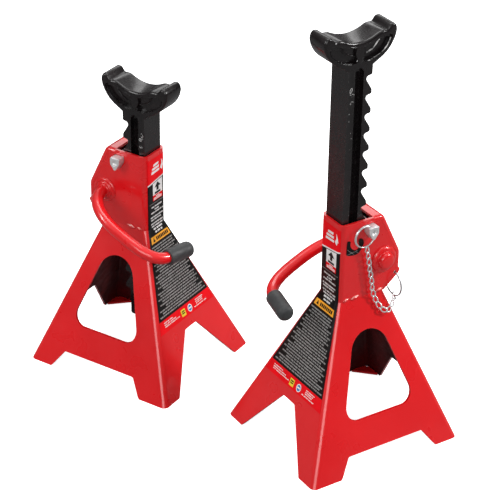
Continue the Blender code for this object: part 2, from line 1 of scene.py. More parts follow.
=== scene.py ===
"""Two ratchet stands in a row: folded red base and tower, toothed black column with a saddle,
bent handle, zinc lock bar and chain.

Each stand is modelled in millimetres in its own axes, standing on z = 0: -Y is the labelled
front, +Y the rear, -X the handle side and +X the chain side. Stand.matrix takes these to
metres in the row's frame. Materials, lights and camera are in metres.
"""
import random
from math import acos, atan2, copysign, cos, pi, radians, sin, tan

import bmesh
import bpy
from mathutils import Matrix, Vector, noise
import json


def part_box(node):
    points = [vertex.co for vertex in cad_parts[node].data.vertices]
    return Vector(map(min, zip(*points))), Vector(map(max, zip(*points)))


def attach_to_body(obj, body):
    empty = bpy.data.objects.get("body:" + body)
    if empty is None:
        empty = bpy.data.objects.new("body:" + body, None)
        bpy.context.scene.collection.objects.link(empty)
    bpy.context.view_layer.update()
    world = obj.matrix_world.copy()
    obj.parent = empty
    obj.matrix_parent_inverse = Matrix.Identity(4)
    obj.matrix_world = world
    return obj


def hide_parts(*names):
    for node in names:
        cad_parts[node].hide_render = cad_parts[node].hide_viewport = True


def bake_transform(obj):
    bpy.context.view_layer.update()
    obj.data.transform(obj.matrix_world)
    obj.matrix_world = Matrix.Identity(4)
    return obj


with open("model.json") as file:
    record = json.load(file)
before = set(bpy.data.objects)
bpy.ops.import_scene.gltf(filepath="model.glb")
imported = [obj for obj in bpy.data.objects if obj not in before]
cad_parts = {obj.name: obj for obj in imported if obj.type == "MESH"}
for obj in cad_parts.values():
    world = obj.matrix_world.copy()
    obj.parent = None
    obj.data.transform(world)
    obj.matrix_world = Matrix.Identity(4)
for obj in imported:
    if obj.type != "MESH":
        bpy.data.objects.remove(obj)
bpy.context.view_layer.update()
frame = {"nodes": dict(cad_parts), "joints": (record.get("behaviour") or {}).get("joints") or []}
RANDOM = random.Random(11)

# ------------------------------------------------------------------ sizes, mm
# HX and HY are half widths along X and Y
SHEET = 2.5
BASE_HX, BASE_HY = 74.5, 84.0
TOWER_HX, FRONT_Y, REAR_Y = 16.6, 22.1, 29.2   # FRONT_Y is measured towards -Y
WAIST_Z, TOWER_Z = 153.6, 234.5
BEND_OUTER, BEND_INNER = 5.6, 2.6
# (y, z) down the rear edge of the tower's side plates
EAR = ((25.5, TOWER_Z), (46.5, 190.3), (46.5, 168.2), (REAR_Y, WAIST_Z))
COVER_LIP_Y, COVER_END_Z, COVER_LEG = 14.0, 172.0, 5.0
AXLE_Y, AXLE_Z = 27.0, 187.0
HOLE_Y, HOLE_Z = 41.2, 168.6                   # hole of the anchor ring
BAR_FRONT, BAR_REAR, BAR_TOP = 3.6, 14.4, 229.2
BAR_CLEARANCE = .35

COLUMN_HX, COLUMN_FRONT, TIP_Y = 12.9, -19.0, 6.6
COLUMN_MID = (COLUMN_FRONT + TIP_Y) / 2
COLUMN_BOTTOM, LEDGE_TOP, SADDLE_TOP = 163.0, 378.4, 422.0
TOOTH_PITCH, TOOTH_COUNT = 18.6, 10            # the column is plain below the teeth
RIB_SHIFT = -0.6                               # from the column's middle to the saddle ribs' centre
RIB_MID = COLUMN_MID + RIB_SHIFT
SADDLE_MID = COLUMN_MID + RIB_SHIFT * .5

HANDLE_DIP = radians(25.0)                     # the handle's plane falls this much to the front
GRIP_START = (-36.0, 95.4)                     # (x, distance from the axle)
GRIP_DIRECTION = (0.982, 0.190)
GRIP_LENGTH = 30


# ================================================================== materials
class Nodes:
    """Builds shader nodes; sockets take a number, a colour tuple or another node's output."""

    def __init__(self, tree, coordinates):
        self.tree = tree
        self.position = self.node("ShaderNodeTexCoord").outputs[coordinates]

    def feed(self, socket, value):
        if isinstance(value, (int, float)):
            socket.default_value = value
        elif isinstance(value, tuple):
            socket.default_value = (*value, 1)
        else:
            self.tree.links.new(value, socket)

    def feed_named(self, node, inputs):
        for key, value in inputs.items():
            self.feed(node.inputs[key.replace("_", " ")], value)

    def node(self, kind, **inputs):
        node = self.tree.nodes.new(kind)
        self.feed_named(node, inputs)
        return node

    def noise(self, scale, detail, roughness=0.55):
        return self.node("ShaderNodeTexNoise", Scale=scale, Detail=detail, Roughness=roughness,
                         Vector=self.position).outputs["Fac"]

    def ramp(self, value, stops):
        node = self.node("ShaderNodeValToRGB", Fac=value)
        elements = node.color_ramp.elements
        while len(elements) < len(stops):
            elements.new(0.5)
        for element, (position, colour) in zip(elements, stops):
            element.position = position
            element.color = (*colour, 1)
        return node.outputs["Color"]

    def span(self, value, start, stop, low, high):
        return self.node("ShaderNodeMapRange", From_Min=start, From_Max=stop, To_Min=low,
                         To_Max=high, Value=value).outputs["Result"]

    def tones(self, dark, light, start=0.3, stop=0.7, **pattern):
        """Colour from dark to light as the noise goes from start to stop."""
        return self.ramp(self.noise(**pattern), [(start, dark), (stop, light)])

    def grain(self, low, high, start=0.3, stop=0.7, **pattern):
        """Value from low to high as the noise goes from start to stop."""
        return self.span(self.noise(**pattern), start, stop, low, high)

    def times(self, first, second):
        node = self.node("ShaderNodeMath")
        node.operation = "MULTIPLY"
        self.feed(node.inputs[0], first)
        self.feed(node.inputs[1], second)
        return node.outputs[0]

    def mix(self, factor, first, second):
        node = self.node("ShaderNodeMix")
        node.data_type = "RGBA"
        self.feed(node.inputs["Factor"], factor)
        self.feed(node.inputs[6], first)       # colour sockets A, B and the colour result
        self.feed(node.inputs[7], second)
        return node.outputs[2]

    def edge(self, radius):
        """1 near a convex or concave edge within radius, 0 on flat faces."""
        bevel = self.node("ShaderNodeBevel", Radius=radius)
        bevel.samples = 6
        dot = self.node("ShaderNodeVectorMath")
        dot.operation = "DOT_PRODUCT"
        self.feed(dot.inputs[0], bevel.outputs[0])
        self.feed(dot.inputs[1], self.node("ShaderNodeNewGeometry").outputs["Normal"])
        return self.span(dot.outputs["Value"], start=0.995, stop=0.90, low=0.0, high=1.0)


class Surface(Nodes):
    """Node tree of a new material around its Principled shader."""

    def __init__(self, name):
        self.material = bpy.data.materials.new(name)
        self.material.use_nodes = True
        super().__init__(self.material.node_tree, "Object")
        self.shader = self.tree.nodes["Principled BSDF"]

    def bumps(self, *layers):
        """Layers are dicts: noise settings with the bump's strength and distance."""
        depths = [(layer.pop("strength"), layer.pop("distance")) for layer in layers]
        heights = [self.noise(**layer) for layer in layers]
        normal = None
        for height, (strength, distance) in zip(heights, depths):
            node = self.node("ShaderNodeBump", Strength=strength, Distance=distance, Height=height)
            if normal is not None:
                self.feed(node.inputs["Normal"], normal)
            normal = node.outputs["Normal"]
        self.feed(self.shader.inputs["Normal"], normal)

    def shade(self, **inputs):
        self.feed_named(self.shader, inputs)


def red_paint(name):
    mat = Surface(name)
    colour = mat.tones(dark=(0.60, 0.0035, 0.006), light=(0.68, 0.006, 0.009),
                       start=0.32, stop=0.68, scale=11, detail=3)
    grime = mat.grain(low=0.0, high=0.03, start=0.62, stop=0.90, scale=38, detail=3, roughness=0.5)
    colour = mat.mix(grime, colour, (0.30, 0.004, 0.006))
    rubbed = mat.times(mat.edge(radius=0.0008), mat.grain(
        low=0.0, high=0.40, start=0.44, stop=0.64, scale=240, detail=4, roughness=0.7))
    colour = mat.mix(rubbed, colour, (0.86, 0.16, 0.13))
    mat.shade(Base_Color=colour, Roughness=mat.grain(low=0.26, high=0.34, scale=40, detail=2),
              Coat_Weight=0.6, Coat_Roughness=0.09, Specular_IOR_Level=0.42)
    mat.bumps(dict(scale=16, detail=1, strength=0.07, distance=0.0010),
              dict(scale=300, detail=1, strength=0.02, distance=0.00006))
    return mat.material


def inner_shade_red(name):
    """Very dark red for the faces inside the base: a painted shade for the shadow in there."""
    mat = Surface(name)
    colour = mat.tones(dark=(0.020, 0.0012, 0.0015), light=(0.085, 0.0025, 0.0035),
                       stop=0.72, scale=24, detail=5, roughness=0.6)
    mat.shade(Base_Color=colour, Roughness=mat.grain(low=0.35, high=0.6, scale=120, detail=4),
              Specular_IOR_Level=0.25)
    mat.bumps(dict(scale=300, detail=3, strength=0.2, distance=0.0002))
    return mat.material


def weld_paint(name):
    mat = Surface(name)
    colour = mat.tones(dark=(0.50, 0.006, 0.006), light=(0.68, 0.012, 0.012), scale=180, detail=3)
    mat.shade(Base_Color=colour, Roughness=mat.grain(low=0.25, high=0.45, scale=300, detail=3),
              Coat_Weight=0.4)
    mat.bumps(dict(scale=340, detail=4, strength=0.35, distance=0.0004))
    return mat.material


def tack_highlight_paint(name):
    """Weld tacks under thin paint, with a painted highlight in light pink where they face up."""
    mat = Surface(name)
    colour = mat.tones(dark=(0.60, 0.006, 0.008), light=(0.72, 0.012, 0.014), scale=180, detail=3)
    normal = mat.node("ShaderNodeNewGeometry").outputs["Normal"]
    rise = mat.node("ShaderNodeSeparateXYZ", Vector=normal).outputs["Z"]
    # painted highlight: light pink where the normal faces up, broken by noise
    upward_highlight_mask = mat.times(mat.span(rise, start=0.45, stop=0.85, low=0.0, high=1.0), mat.grain(
        low=0.3, high=1.0, start=0.40, stop=0.56, scale=400, detail=3))
    mat.shade(Base_Color=mat.mix(upward_highlight_mask, colour, (0.95, 0.55, 0.50)), Coat_Weight=0.7,
              Roughness=mat.grain(low=0.12, high=0.25, scale=300, detail=3))
    mat.bumps(dict(scale=340, detail=4, strength=0.2, distance=0.0003))
    return mat.material


def black_cast(name, smoothest=0.18, roughest=0.34, bump=0.20, edge_wear=0.4):
    mat = Surface(name)
    colour = mat.tones(dark=(0.0026, 0.0020, 0.0022), light=(0.0085, 0.0052, 0.0058),
                       scale=30, detail=5, roughness=0.6)
    worn = mat.times(mat.edge(radius=0.0010), mat.grain(
        low=0.0, high=edge_wear, start=0.50, stop=0.66, scale=300, detail=5, roughness=0.75))
    colour = mat.mix(worn, colour, (0.13, 0.125, 0.12))
    mat.shade(Base_Color=colour, Coat_Weight=0.22, Coat_Roughness=0.14, Specular_IOR_Level=0.34,
              Roughness=mat.grain(smoothest, roughest, scale=120, detail=5, roughness=0.65))
    mat.bumps(dict(scale=85, detail=4, roughness=0.6, strength=bump, distance=0.0010),
              dict(scale=620, detail=2, roughness=0.5, strength=bump * .40, distance=0.00018))
    return mat.material


def worn_and_highlight_cast(name):
    """Raised foundry marks and rib crests in grey: partly rubbed paint, partly a painted highlight
    for the glints on the crests.
    """
    mat = Surface(name)
    colour = mat.tones(dark=(0.03, 0.028, 0.028), light=(0.62, 0.61, 0.60),
                       start=0.38, stop=0.58, scale=260, detail=4)
    mat.shade(Base_Color=colour, Roughness=mat.grain(low=0.2, high=0.4, scale=220, detail=3),
              Metallic=0.35, Coat_Weight=0.4)
    mat.bumps(dict(scale=500, detail=3, strength=0.2, distance=0.0002))
    return mat.material


def zinc(name, tint=(0.74, 0.73, 0.73), smoothest=0.30, roughest=0.46, bump=0.10, metallic=0.55):
    mat = Surface(name)
    dark = (tint[0] * .84, tint[1] * .84, tint[2] * .85)
    colour = mat.tones(dark, tint, scale=90, detail=4)
    mat.shade(Base_Color=colour, Metallic=metallic,
              Roughness=mat.grain(smoothest, roughest, scale=260, detail=4))
    mat.bumps(dict(scale=500, detail=4, strength=bump, distance=0.0002))
    return mat.material


def bare_steel(name):
    mat = Surface(name)
    colour = mat.tones(dark=(0.20, 0.19, 0.18), light=(0.42, 0.42, 0.42), scale=90, detail=5)
    mat.shade(Base_Color=colour, Metallic=1.0,
              Roughness=mat.grain(low=0.3, high=0.5, scale=200, detail=3))
    mat.bumps(dict(scale=420, detail=3, strength=0.2, distance=0.0002))
    return mat.material


def grip_rubber(name):
    mat = Surface(name)
    colour = mat.tones(dark=(0.022, 0.023, 0.024), light=(0.044, 0.046, 0.047),
                       stop=0.75, scale=120, detail=5, roughness=0.6)
    mat.shade(Base_Color=colour, Roughness=mat.grain(low=0.42, high=0.60, scale=200, detail=4),
              Sheen_Weight=0.05, Specular_IOR_Level=0.36)
    mat.bumps(dict(scale=900, detail=3, strength=0.30, distance=0.00018),
              dict(scale=90, detail=2, strength=0.15, distance=0.0006))
    return mat.material


def film(name, colour, rough=0.30, coat=0.25, specular=0.5):
    """Printed label film."""
    mat = Surface(name)
    tone = mat.tones(tuple(c * 0.82 for c in colour), colour, scale=60, detail=3)
    mat.shade(Base_Color=tone, Coat_Weight=coat, Coat_Roughness=0.2, Specular_IOR_Level=specular,
              Roughness=mat.grain(rough - .06, rough + .08, scale=150, detail=3))
    mat.bumps(dict(scale=160, detail=2, strength=0.06, distance=0.0003))
    return mat.material


MATERIALS = {
    "red": red_paint("red_enamel"),
    # faces inside the base: very dark red painted shade
    "red_inner_shade": inner_shade_red("inner_painted_shade"),
    # grey crests and marks: partly rubbed, partly a painted highlight
    "mark": worn_and_highlight_cast("rubbed_cast_with_painted_highlight"),
    "rib": black_cast("black_cast_ribs", smoothest=0.10, roughest=0.22, bump=0.15, edge_wear=0.0),
    "weld": weld_paint("painted_weld"),
    "cast": black_cast("black_cast_iron"),
    "zinc": zinc("bright_zinc"),
    "link": zinc("bright_link_wire", tint=(0.80, 0.80, 0.80), smoothest=0.18, roughest=0.30,
                 bump=0.04, metallic=0.72),
    "steel": bare_steel("oiled_steel"),
    "grip": grip_rubber("grip_rubber"),
    "f_black": film("film_black", (0.0034, 0.0026, 0.0026), rough=0.34, coat=0.0, specular=0.22),
    "f_red": film("film_red", (0.78, 0.0010, 0.0060), rough=0.40, coat=0.0, specular=0.16),
    "f_white": film("film_white", (0.80, 0.79, 0.78)),
    "f_grey": film("film_grey", (0.34, 0.33, 0.32)),
    "f_orange": film("film_orange", (0.85, 0.36, 0.02)),
    "f_yellow": film("film_yellow", (0.82, 0.62, 0.03)),
    "ring": zinc("anchor_ring_wire", tint=(0.36, 0.36, 0.37), smoothest=0.26, roughest=0.40,
                 bump=0.04, metallic=0.6),
    # tacks: red with a painted highlight on their upward faces
    "tack": tack_highlight_paint("tacks_with_painted_highlight"),
    "f_blue": film("film_blue", (0.02, 0.16, 0.42)),
}


# ================================================================== outlines
def sweep(turn, steps):
    """Angles from 0 to turn, both ends included."""
    return [turn * i / steps for i in range(steps + 1)]


def circle(steps):
    return sweep(2 * pi, steps)[:-1]


def arc(before, corner, after, radius, steps):
    """Points of the fillet at a corner."""
    corner = Vector(corner)
    to_before = (Vector(before) - corner).normalized()
    to_after = (Vector(after) - corner).normalized()
    half = acos(max(-1, min(1, to_before.dot(to_after)))) / 2
    reach = radius / tan(half)
    centre = corner + (to_before + to_after).normalized() * (radius / sin(half))
    start = corner + to_before * reach - centre
    end = corner + to_after * reach - centre
    angle = atan2(start.y, start.x)
    turn = (atan2(end.y, end.x) - angle + pi) % (2 * pi) - pi
    return [(centre.x + radius * cos(angle + step), centre.y + radius * sin(angle + step))
            for step in sweep(turn, steps)]


def rounded(points, radii, steps):
    """Closed outline with filleted corners; radii is one radius or one for each corner."""
    out = []
    for i, point in enumerate(points):
        radius = radii[i] if isinstance(radii, (list, tuple)) else radii
        if radius <= 0:
            out.append(tuple(point))
        else:
            out += arc(points[i - 1], point, points[(i + 1) % len(points)], radius, steps)
    return out


def disc(y, z, radius, steps):
    return [(y + radius * cos(angle), z + radius * sin(angle)) for angle in circle(steps)]


def parallel(points, distance):
    """The open polyline moved sideways, to the right of its direction."""
    lines = []
    for start, end in zip(points, points[1:]):
        along = (Vector(end) - Vector(start)).normalized()
        shift = Vector((along.y, -along.x)) * distance
        lines.append((Vector(start) + shift, Vector(end) + shift))
    out = [lines[0][0]]
    for (start, end), (start2, end2) in zip(lines, lines[1:]):
        along, along2, gap = end - start, end2 - start2, start2 - start
        out.append(start + along * ((gap.x * along2.y - gap.y * along2.x)
                                    / (along.x * along2.y - along.y * along2.x)))
    return out + [lines[-1][1]]


def shrink(points, distance):
    """Closed outline moved inwards by distance(point)."""
    count, out = len(points), []
    area2 = sum(points[i - 1][0] * points[i][1] - points[i][0] * points[i - 1][1]
                for i in range(count))
    for i in range(count):
        here = Vector(points[i])
        into = (here - Vector(points[i - 1])).normalized()
        away = (Vector(points[(i + 1) % count]) - here).normalized()
        inward = Vector((-into.y - away.y, into.x + away.x)) * (1 if area2 > 0 else -1)
        step = inward.normalized() * distance(points[i]) / max(.6, inward.length / 2)
        out.append(tuple(here + step))
    return out


def catmull(controls, steps):
    """Smooth curve through the control points, with steps points to each span."""
    controls = [Vector(p) for p in controls]
    controls = ([controls[0] * 2 - controls[1]] + controls
                + [controls[-1] * 2 - controls[-2]])
    out = []
    for p0, p1, p2, p3 in zip(controls, controls[1:], controls[2:], controls[3:]):
        for i in range(steps):
            t = i / steps
            out.append(0.5 * (2 * p1 + (p2 - p0) * t + (2 * p0 - 5 * p1 + 4 * p2 - p3) * t * t
                              + (3 * p1 - p0 - 3 * p2 + p3) * t ** 3))
    return out + [controls[-2]]


def bezier(controls, steps):
    out = []
    for i in range(steps + 1):
        t = i / steps
        weights = [(1 - t) ** 3, 3 * t * (1 - t) ** 2, 3 * t * t * (1 - t), t ** 3]
        out.append(tuple(sum(w * p[c] for w, p in zip(weights, controls)) for c in range(2)))
    return out


# ================================================================== solids
def bridge(bm, low, high, shift=0):
    """Quads between two closed rings of vertices."""
    count = len(low)
    for i in range(count):
        j = (i + 1) % count
        bm.faces.new((low[i], low[j], high[(j + shift) % count], high[(i + shift) % count]))


def prism(bm, outline, axis, start, end):
    """Outline extruded along an axis; its points hold the other two coordinates in order."""
    def ring(depth):
        place = {"X": lambda p: (depth, p[0], p[1]),
                 "Y": lambda p: (p[0], depth, p[1]),
                 "Z": lambda p: (p[0], p[1], depth)}[axis]
        return [bm.verts.new(place(p)) for p in outline]
    low, high = ring(start), ring(end)
    bm.faces.new(low)
    bm.faces.new(list(reversed(high)))
    bridge(bm, low, high)


def loft(bm, rings):
    """Capped skin over a row of rings."""
    rings = [[bm.verts.new(p) for p in ring] for ring in rings]
    for low, high in zip(rings, rings[1:]):
        bridge(bm, low, high)
    bm.faces.new(rings[0])
    bm.faces.new(list(reversed(rings[-1])))


def tube(bm, path, radius, sides, closed=False):
    """Round bar along a path; radius is a number or a function of the point's index."""
    path = [Vector(p) for p in path]
    count = len(path)
    tangents = []
    for i in range(count):
        before = path[(i - 1) % count] if closed else path[max(i - 1, 0)]
        after = path[(i + 1) % count] if closed else path[min(i + 1, count - 1)]
        tangents.append((after - before).normalized())
    across = tangents[0].orthogonal().normalized()
    rings = []
    for i, (point, tangent) in enumerate(zip(path, tangents)):
        across = (across - tangent * across.dot(tangent)).normalized()
        up = tangent.cross(across)
        size = radius(i) if callable(radius) else radius
        rings.append([bm.verts.new(point + (across * cos(angle) + up * sin(angle)) * size)
                      for angle in circle(sides)])
    for low, high in zip(rings, rings[1:]):
        bridge(bm, low, high)
    if closed:                         # turn the first ring to match the last one
        low, high = rings[-1], rings[0]
        shift = min(range(sides), key=lambda s: sum(
            (low[i].co - high[(i + s) % sides].co).length for i in range(sides)))
        bridge(bm, low, high, shift)
    else:
        bm.faces.new(rings[0])
        bm.faces.new(list(reversed(rings[-1])))


def spin(bm, profile, origin, axis, sides):
    """Solid of revolution; profile is (radius, height along the axis), open ends are capped."""
    axis = Vector(axis).normalized()
    across = axis.orthogonal().normalized()
    up = axis.cross(across)
    loops = []
    for radius, height in profile:
        centre = Vector(origin) + axis * height
        if radius < 1e-6:
            loops.append([bm.verts.new(centre)])
        else:
            loops.append([bm.verts.new(centre + (across * cos(angle) + up * sin(angle)) * radius)
                          for angle in circle(sides)])
    for low, high in zip(loops, loops[1:]):
        for i in range(sides):
            j = (i + 1) % sides
            if len(low) == 1:
                bm.faces.new((low[0], high[j], high[i]))
            elif len(high) == 1:
                bm.faces.new((low[i], low[j], high[0]))
            else:
                bm.faces.new((low[i], low[j], high[j], high[i]))
    for loop in (loops[0], loops[-1]):
        if len(loop) > 1:
            bm.faces.new(loop)


# ================================================================== objects
def repaint(ob, *names):
    """Replaces the material slots and puts every face on the first."""
    ob.data.materials.clear()
    for name in names:
        ob.data.materials.append(MATERIALS[name])
    for face in ob.data.polygons:
        face.material_index = 0


def shade_smooth(ob, degrees):
    ob.data.shade_smooth()
    ob.data.set_sharp_from_angle(angle=radians(degrees))


def bake(ob):
    """Applies every modifier so that the piece is plain mesh."""
    depsgraph = bpy.context.evaluated_depsgraph_get()
    depsgraph.update()
    mesh = bpy.data.meshes.new_from_object(ob.evaluated_get(depsgraph),
                                           preserve_all_data_layers=True, depsgraph=depsgraph)
    ob.modifiers.clear()
    old = ob.data
    ob.data = mesh
    if old.users == 0:
        bpy.data.meshes.remove(old)


def soften(ob, smooth, width, segments, limit):
    """Smooth shading and bevelled edges; width in mm, smooth and limit in degrees."""
    shade_smooth(ob, smooth)
    bevel = ob.modifiers.new("edge", "BEVEL")
    bevel.width = width * .001
    bevel.segments = segments
    bevel.limit_method = "ANGLE"
    bevel.angle_limit = radians(limit)
    bevel.harden_normals = True
    bevel.use_clamp_overlap = True
    bake(ob)


def carve(ob, tools, **operations):
    """Boolean with each tool in turn; tool0="UNION" changes what the first one does."""
    for i, tool in enumerate(tools):
        boolean = ob.modifiers.new("b%d" % i, "BOOLEAN")
        boolean.object = tool
        boolean.operation = operations.get("tool%d" % i, "DIFFERENCE")
        boolean.solver = "EXACT"
    bake(ob)
    for tool in tools:
        bpy.data.objects.remove(tool, do_unlink=True)


class Stand:
    """One stand: its name prefix, its axes, and how far its column is raised."""

    def __init__(self, number):
        self.prefix = "stand%d_" % number
        low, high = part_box(self.prefix + "base_shell")
        joints = {joint["name"]: joint for joint in frame["joints"]}
        axis = Vector(joints[self.prefix + "lock_bar_pull"]["axis"])
        self.matrix = (Matrix.Translation(((low.x + high.x) / 2, (low.y + high.y) / 2, 0))
                       @ Matrix.Rotation(atan2(axis.y, axis.x), 4, "Z")
                       @ Matrix.Diagonal((.001, .001, .001, 1)))
        self.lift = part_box(self.prefix + "ratchet_column")[1].z * 1000 - SADDLE_TOP
        self.saddle_z = SADDLE_TOP + self.lift

    def add(self, part, bm, materials):
        name = self.prefix + part
        mesh = bpy.data.meshes.new(name)
        bm.to_mesh(mesh)
        bm.free()
        ob = bpy.data.objects.new(name, mesh)
        bpy.context.scene.collection.objects.link(ob)
        for material in materials:
            mesh.materials.append(MATERIALS[material])
        return ob

    def solid(self, part, bm, materials=(), smooth=0):
        bmesh.ops.remove_doubles(bm, verts=bm.verts, dist=1e-4)
        bmesh.ops.recalc_face_normals(bm, faces=bm.faces)
        bmesh.ops.transform(bm, matrix=self.matrix, verts=bm.verts)
        ob = self.add(part, bm, materials)
        if smooth:
            shade_smooth(ob, smooth)
        return ob

    def film(self, part, bm, materials):
        """Flat patches closed into a thin solid, so that nothing is a bare face."""
        faces = list(bm.faces)
        for face in faces:
            face.normal_update()
        made = bmesh.ops.extrude_face_region(bm, geom=faces, use_keep_orig=True)["geom"]
        verts = [item for item in made if isinstance(item, bmesh.types.BMVert)]
        bmesh.ops.translate(bm, verts=verts, vec=(0, .05, -.01))
        bmesh.ops.transform(bm, matrix=self.matrix, verts=bm.verts)
        bmesh.ops.recalc_face_normals(bm, faces=bm.faces)
        return self.add(part, bm, materials)

    def block(self, outline, axis, start, end):
        """Prism used as a boolean tool."""
        bm = bmesh.new()
        prism(bm, outline, axis, start, end)
        return self.solid("tool", bm)

    def attach(self, ob, body, slot, *nodes):
        """Ties a piece to its moving body and hides the CAD pieces it stands in for."""
        if nodes:
            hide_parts(*(self.prefix + node for node in nodes))
        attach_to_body(ob, self.prefix + body)


# ================================================================== the base
def half_x(z):
    return TOWER_HX + (BASE_HX - TOWER_HX) * (1 - z / WAIST_Z)


def front_y(z):
    return -(FRONT_Y + (BASE_HY - FRONT_Y) * (1 - z / WAIST_Z))


def rear_y(z):
    return REAR_Y + (BASE_HY - REAR_Y) * (1 - z / WAIST_Z)


def base_ring(z, inset, radius):
    """Section of the tapering base, (x, y, z)."""
    hx, front, rear = half_x(z) - inset, front_y(z) + inset, rear_y(z) - inset
    corners = [(-hx, front), (hx, front), (hx, rear), (-hx, rear)]
    return [(x, y, z) for x, y in rounded(corners, radius, 10)]


def tower(stand):
    """U-shaped wall open to the rear, its side plates cut to the ears' outline."""
    rear = EAR[1][0] + 6

    def wall(hx, front, radius):
        bend = arc((-hx, -front), (hx, -front), (hx, rear), radius, 10)
        side = [(hx, rear)] + list(reversed(bend))
        return side + [(-x, y) for x, y in reversed(side)]
    inner = wall(TOWER_HX - SHEET, FRONT_Y - SHEET, BEND_INNER)
    bm = bmesh.new()
    prism(bm, wall(TOWER_HX, FRONT_Y, BEND_OUTER) + list(reversed(inner)), "Z",
          WAIST_Z - .001, TOWER_Z + 4)
    ob = stand.solid("tower", bm, ["red"])
    gap = .04                          # between the side plates and the rear cover
    ridge = parallel([(COVER_LIP_Y, TOWER_Z), EAR[0], EAR[1], (EAR[1][0], COVER_END_Z)],
                     COVER_LEG + gap)
    outline = [(-FRONT_Y - 5, WAIST_Z - .001), (-FRONT_Y - 5, TOWER_Z),
               (COVER_LIP_Y - gap, TOWER_Z), tuple(ridge[0] - Vector((gap, 0))),
               tuple(ridge[1]), tuple(ridge[2]), tuple(ridge[3] - Vector((0, gap))),
               (EAR[1][0], COVER_END_Z - gap), EAR[2], (EAR[3][0], EAR[3][1] - .001)]
    ears = stand.block(rounded(outline, [0, 0, 0, 0, 1.5, 9.0, 0, 0, 7.0, 0], 8), "X", -40, 40)
    carve(ob, [ears], tool0="INTERSECT")
    return ob


def base_openings(stand):
    """Tools for the holes through the shell."""
    middle, half, sill = 3.4, 41.4, 46.7           # rounded triangle in each side panel
    window = rounded([(middle - half, sill), (middle + half, sill), (middle, sill + half / 0.335)],
                     [12.0, 12.0, 21.5], 14)
    # (y, z) of the notch along the foot of each side panel
    rail = rounded([(-54.5, -3), (-49.4, 2.4), (-39.6, 18.2), (44.4, 18.2), (56.0, 2.4),
                    (60.5, -3)], [0, 4.0, 2.5, 2.5, 4.0, 0], 5)
    foot, top, height, below = 50, 9.5, 51.9, 3    # arch through front and rear, half widths
    spread = foot + below * (foot - top) / height
    arch = rounded([(-spread, -below), (-top, height), (top, height), (spread, -below)],
                   [0, 3.0, 3.0, 0], 5)
    seam = [(-.4, 40), (.4, 40), (.4, WAIST_Z + 2), (-.4, WAIST_Z + 2)]
    front, rear, top = BAR_FRONT - BAR_CLEARANCE, BAR_REAR + BAR_CLEARANCE, BAR_TOP + BAR_CLEARANCE
    slot = [(front, top), (front, top - 6), (front + 4.8, top - 13.8), (front + 7.0, top - 14.2),
            (rear, top - 7.6), (rear, top)]
    return [stand.block(*cut) for cut in (
        (window, "X", -120, 120), (rail, "X", -120, 120), (arch, "Y", -120, 120),
        (seam, "Y", 20, 110), (slot, "X", -40, 40),
        (disc(AXLE_Y, AXLE_Z, 6.1, 32), "X", -40, 40),
        (disc(HOLE_Y, HOLE_Z, 1.7, 20), "X", 5, 40))]


def base_shell(stand):
    bm = bmesh.new()
    loft(bm, [base_ring(0, 0, BEND_OUTER), base_ring(WAIST_Z, 0, BEND_OUTER)])
    ob = stand.solid("folded_shell", bm, ["red"])
    top = base_ring(WAIST_Z, SHEET, BEND_INNER)
    slanted = SHEET * 1.07             # the sloping sheet, measured level
    bm = bmesh.new()
    loft(bm, [base_ring(-4, slanted, BEND_INNER), top, [(x, y, WAIST_Z + 3) for x, y, z in top]])
    inner = stand.solid("tool", bm)
    carve(ob, [inner, tower(stand)] + base_openings(stand), tool1="UNION")
    # the second slot is the dark red painted shade for faces inside the base
    repaint(ob, "red", "red_inner_shade")
    to_stand = stand.matrix.inverted()
    depth = 1.7                        # faces further in than this get the dark red painted shade
    for face in ob.data.polygons:
        x, y, z = to_stand @ face.center
        if z < WAIST_Z:
            inside = min(half_x(z) - abs(x), y - front_y(z), rear_y(z) - y) > depth
        else:
            inside = abs(x) < TOWER_HX - depth and y > -FRONT_Y + depth and z < TOWER_Z - 1
        face.material_index = 1 if inside else 0
    soften(ob, smooth=28, width=0.55, segments=2, limit=17)
    return ob


def rear_cover(stand):
    """Folded strap over the ears: a flat lip on top, then down the back, both edges bent round."""
    path = [(COVER_LIP_Y, TOWER_Z)]
    path += arc((COVER_LIP_Y, TOWER_Z), EAR[0], EAR[1], 7.0, 10)
    path += arc(EAR[0], EAR[1], (EAR[1][0], COVER_END_Z), 14.0, 14) + [(EAR[1][0], COVER_END_Z)]
    hx, bend = TOWER_HX + .02, 3.6

    def half_section(inset, steps):
        """(x, height off the path), from the leg's edge up round the bend."""
        radius = bend - inset
        return [(hx - inset, -COVER_LEG)] + [
            (hx - bend + radius * cos(angle), -bend + radius * sin(angle))
            for angle in sweep(pi / 2, steps)]
    outer, inner = half_section(0, 7), half_section(SHEET, 4)
    section = outer + [(-x, height) for x, height in reversed(outer)]
    section += [(-x, height) for x, height in inner] + list(reversed(inner))
    rings = []
    for i, (y, z) in enumerate(path):
        before, after = Vector(path[max(i - 1, 0)]), Vector(path[min(i + 1, len(path) - 1)])
        along = (after - before).normalized()
        rings.append([(x, y - along.y * height, z + along.x * height) for x, height in section])
    bm = bmesh.new()
    loft(bm, rings)
    ob = stand.solid("folded_cover", bm, ["red"])
    soften(ob, smooth=30, width=0.4, segments=2, limit=50)
    return ob


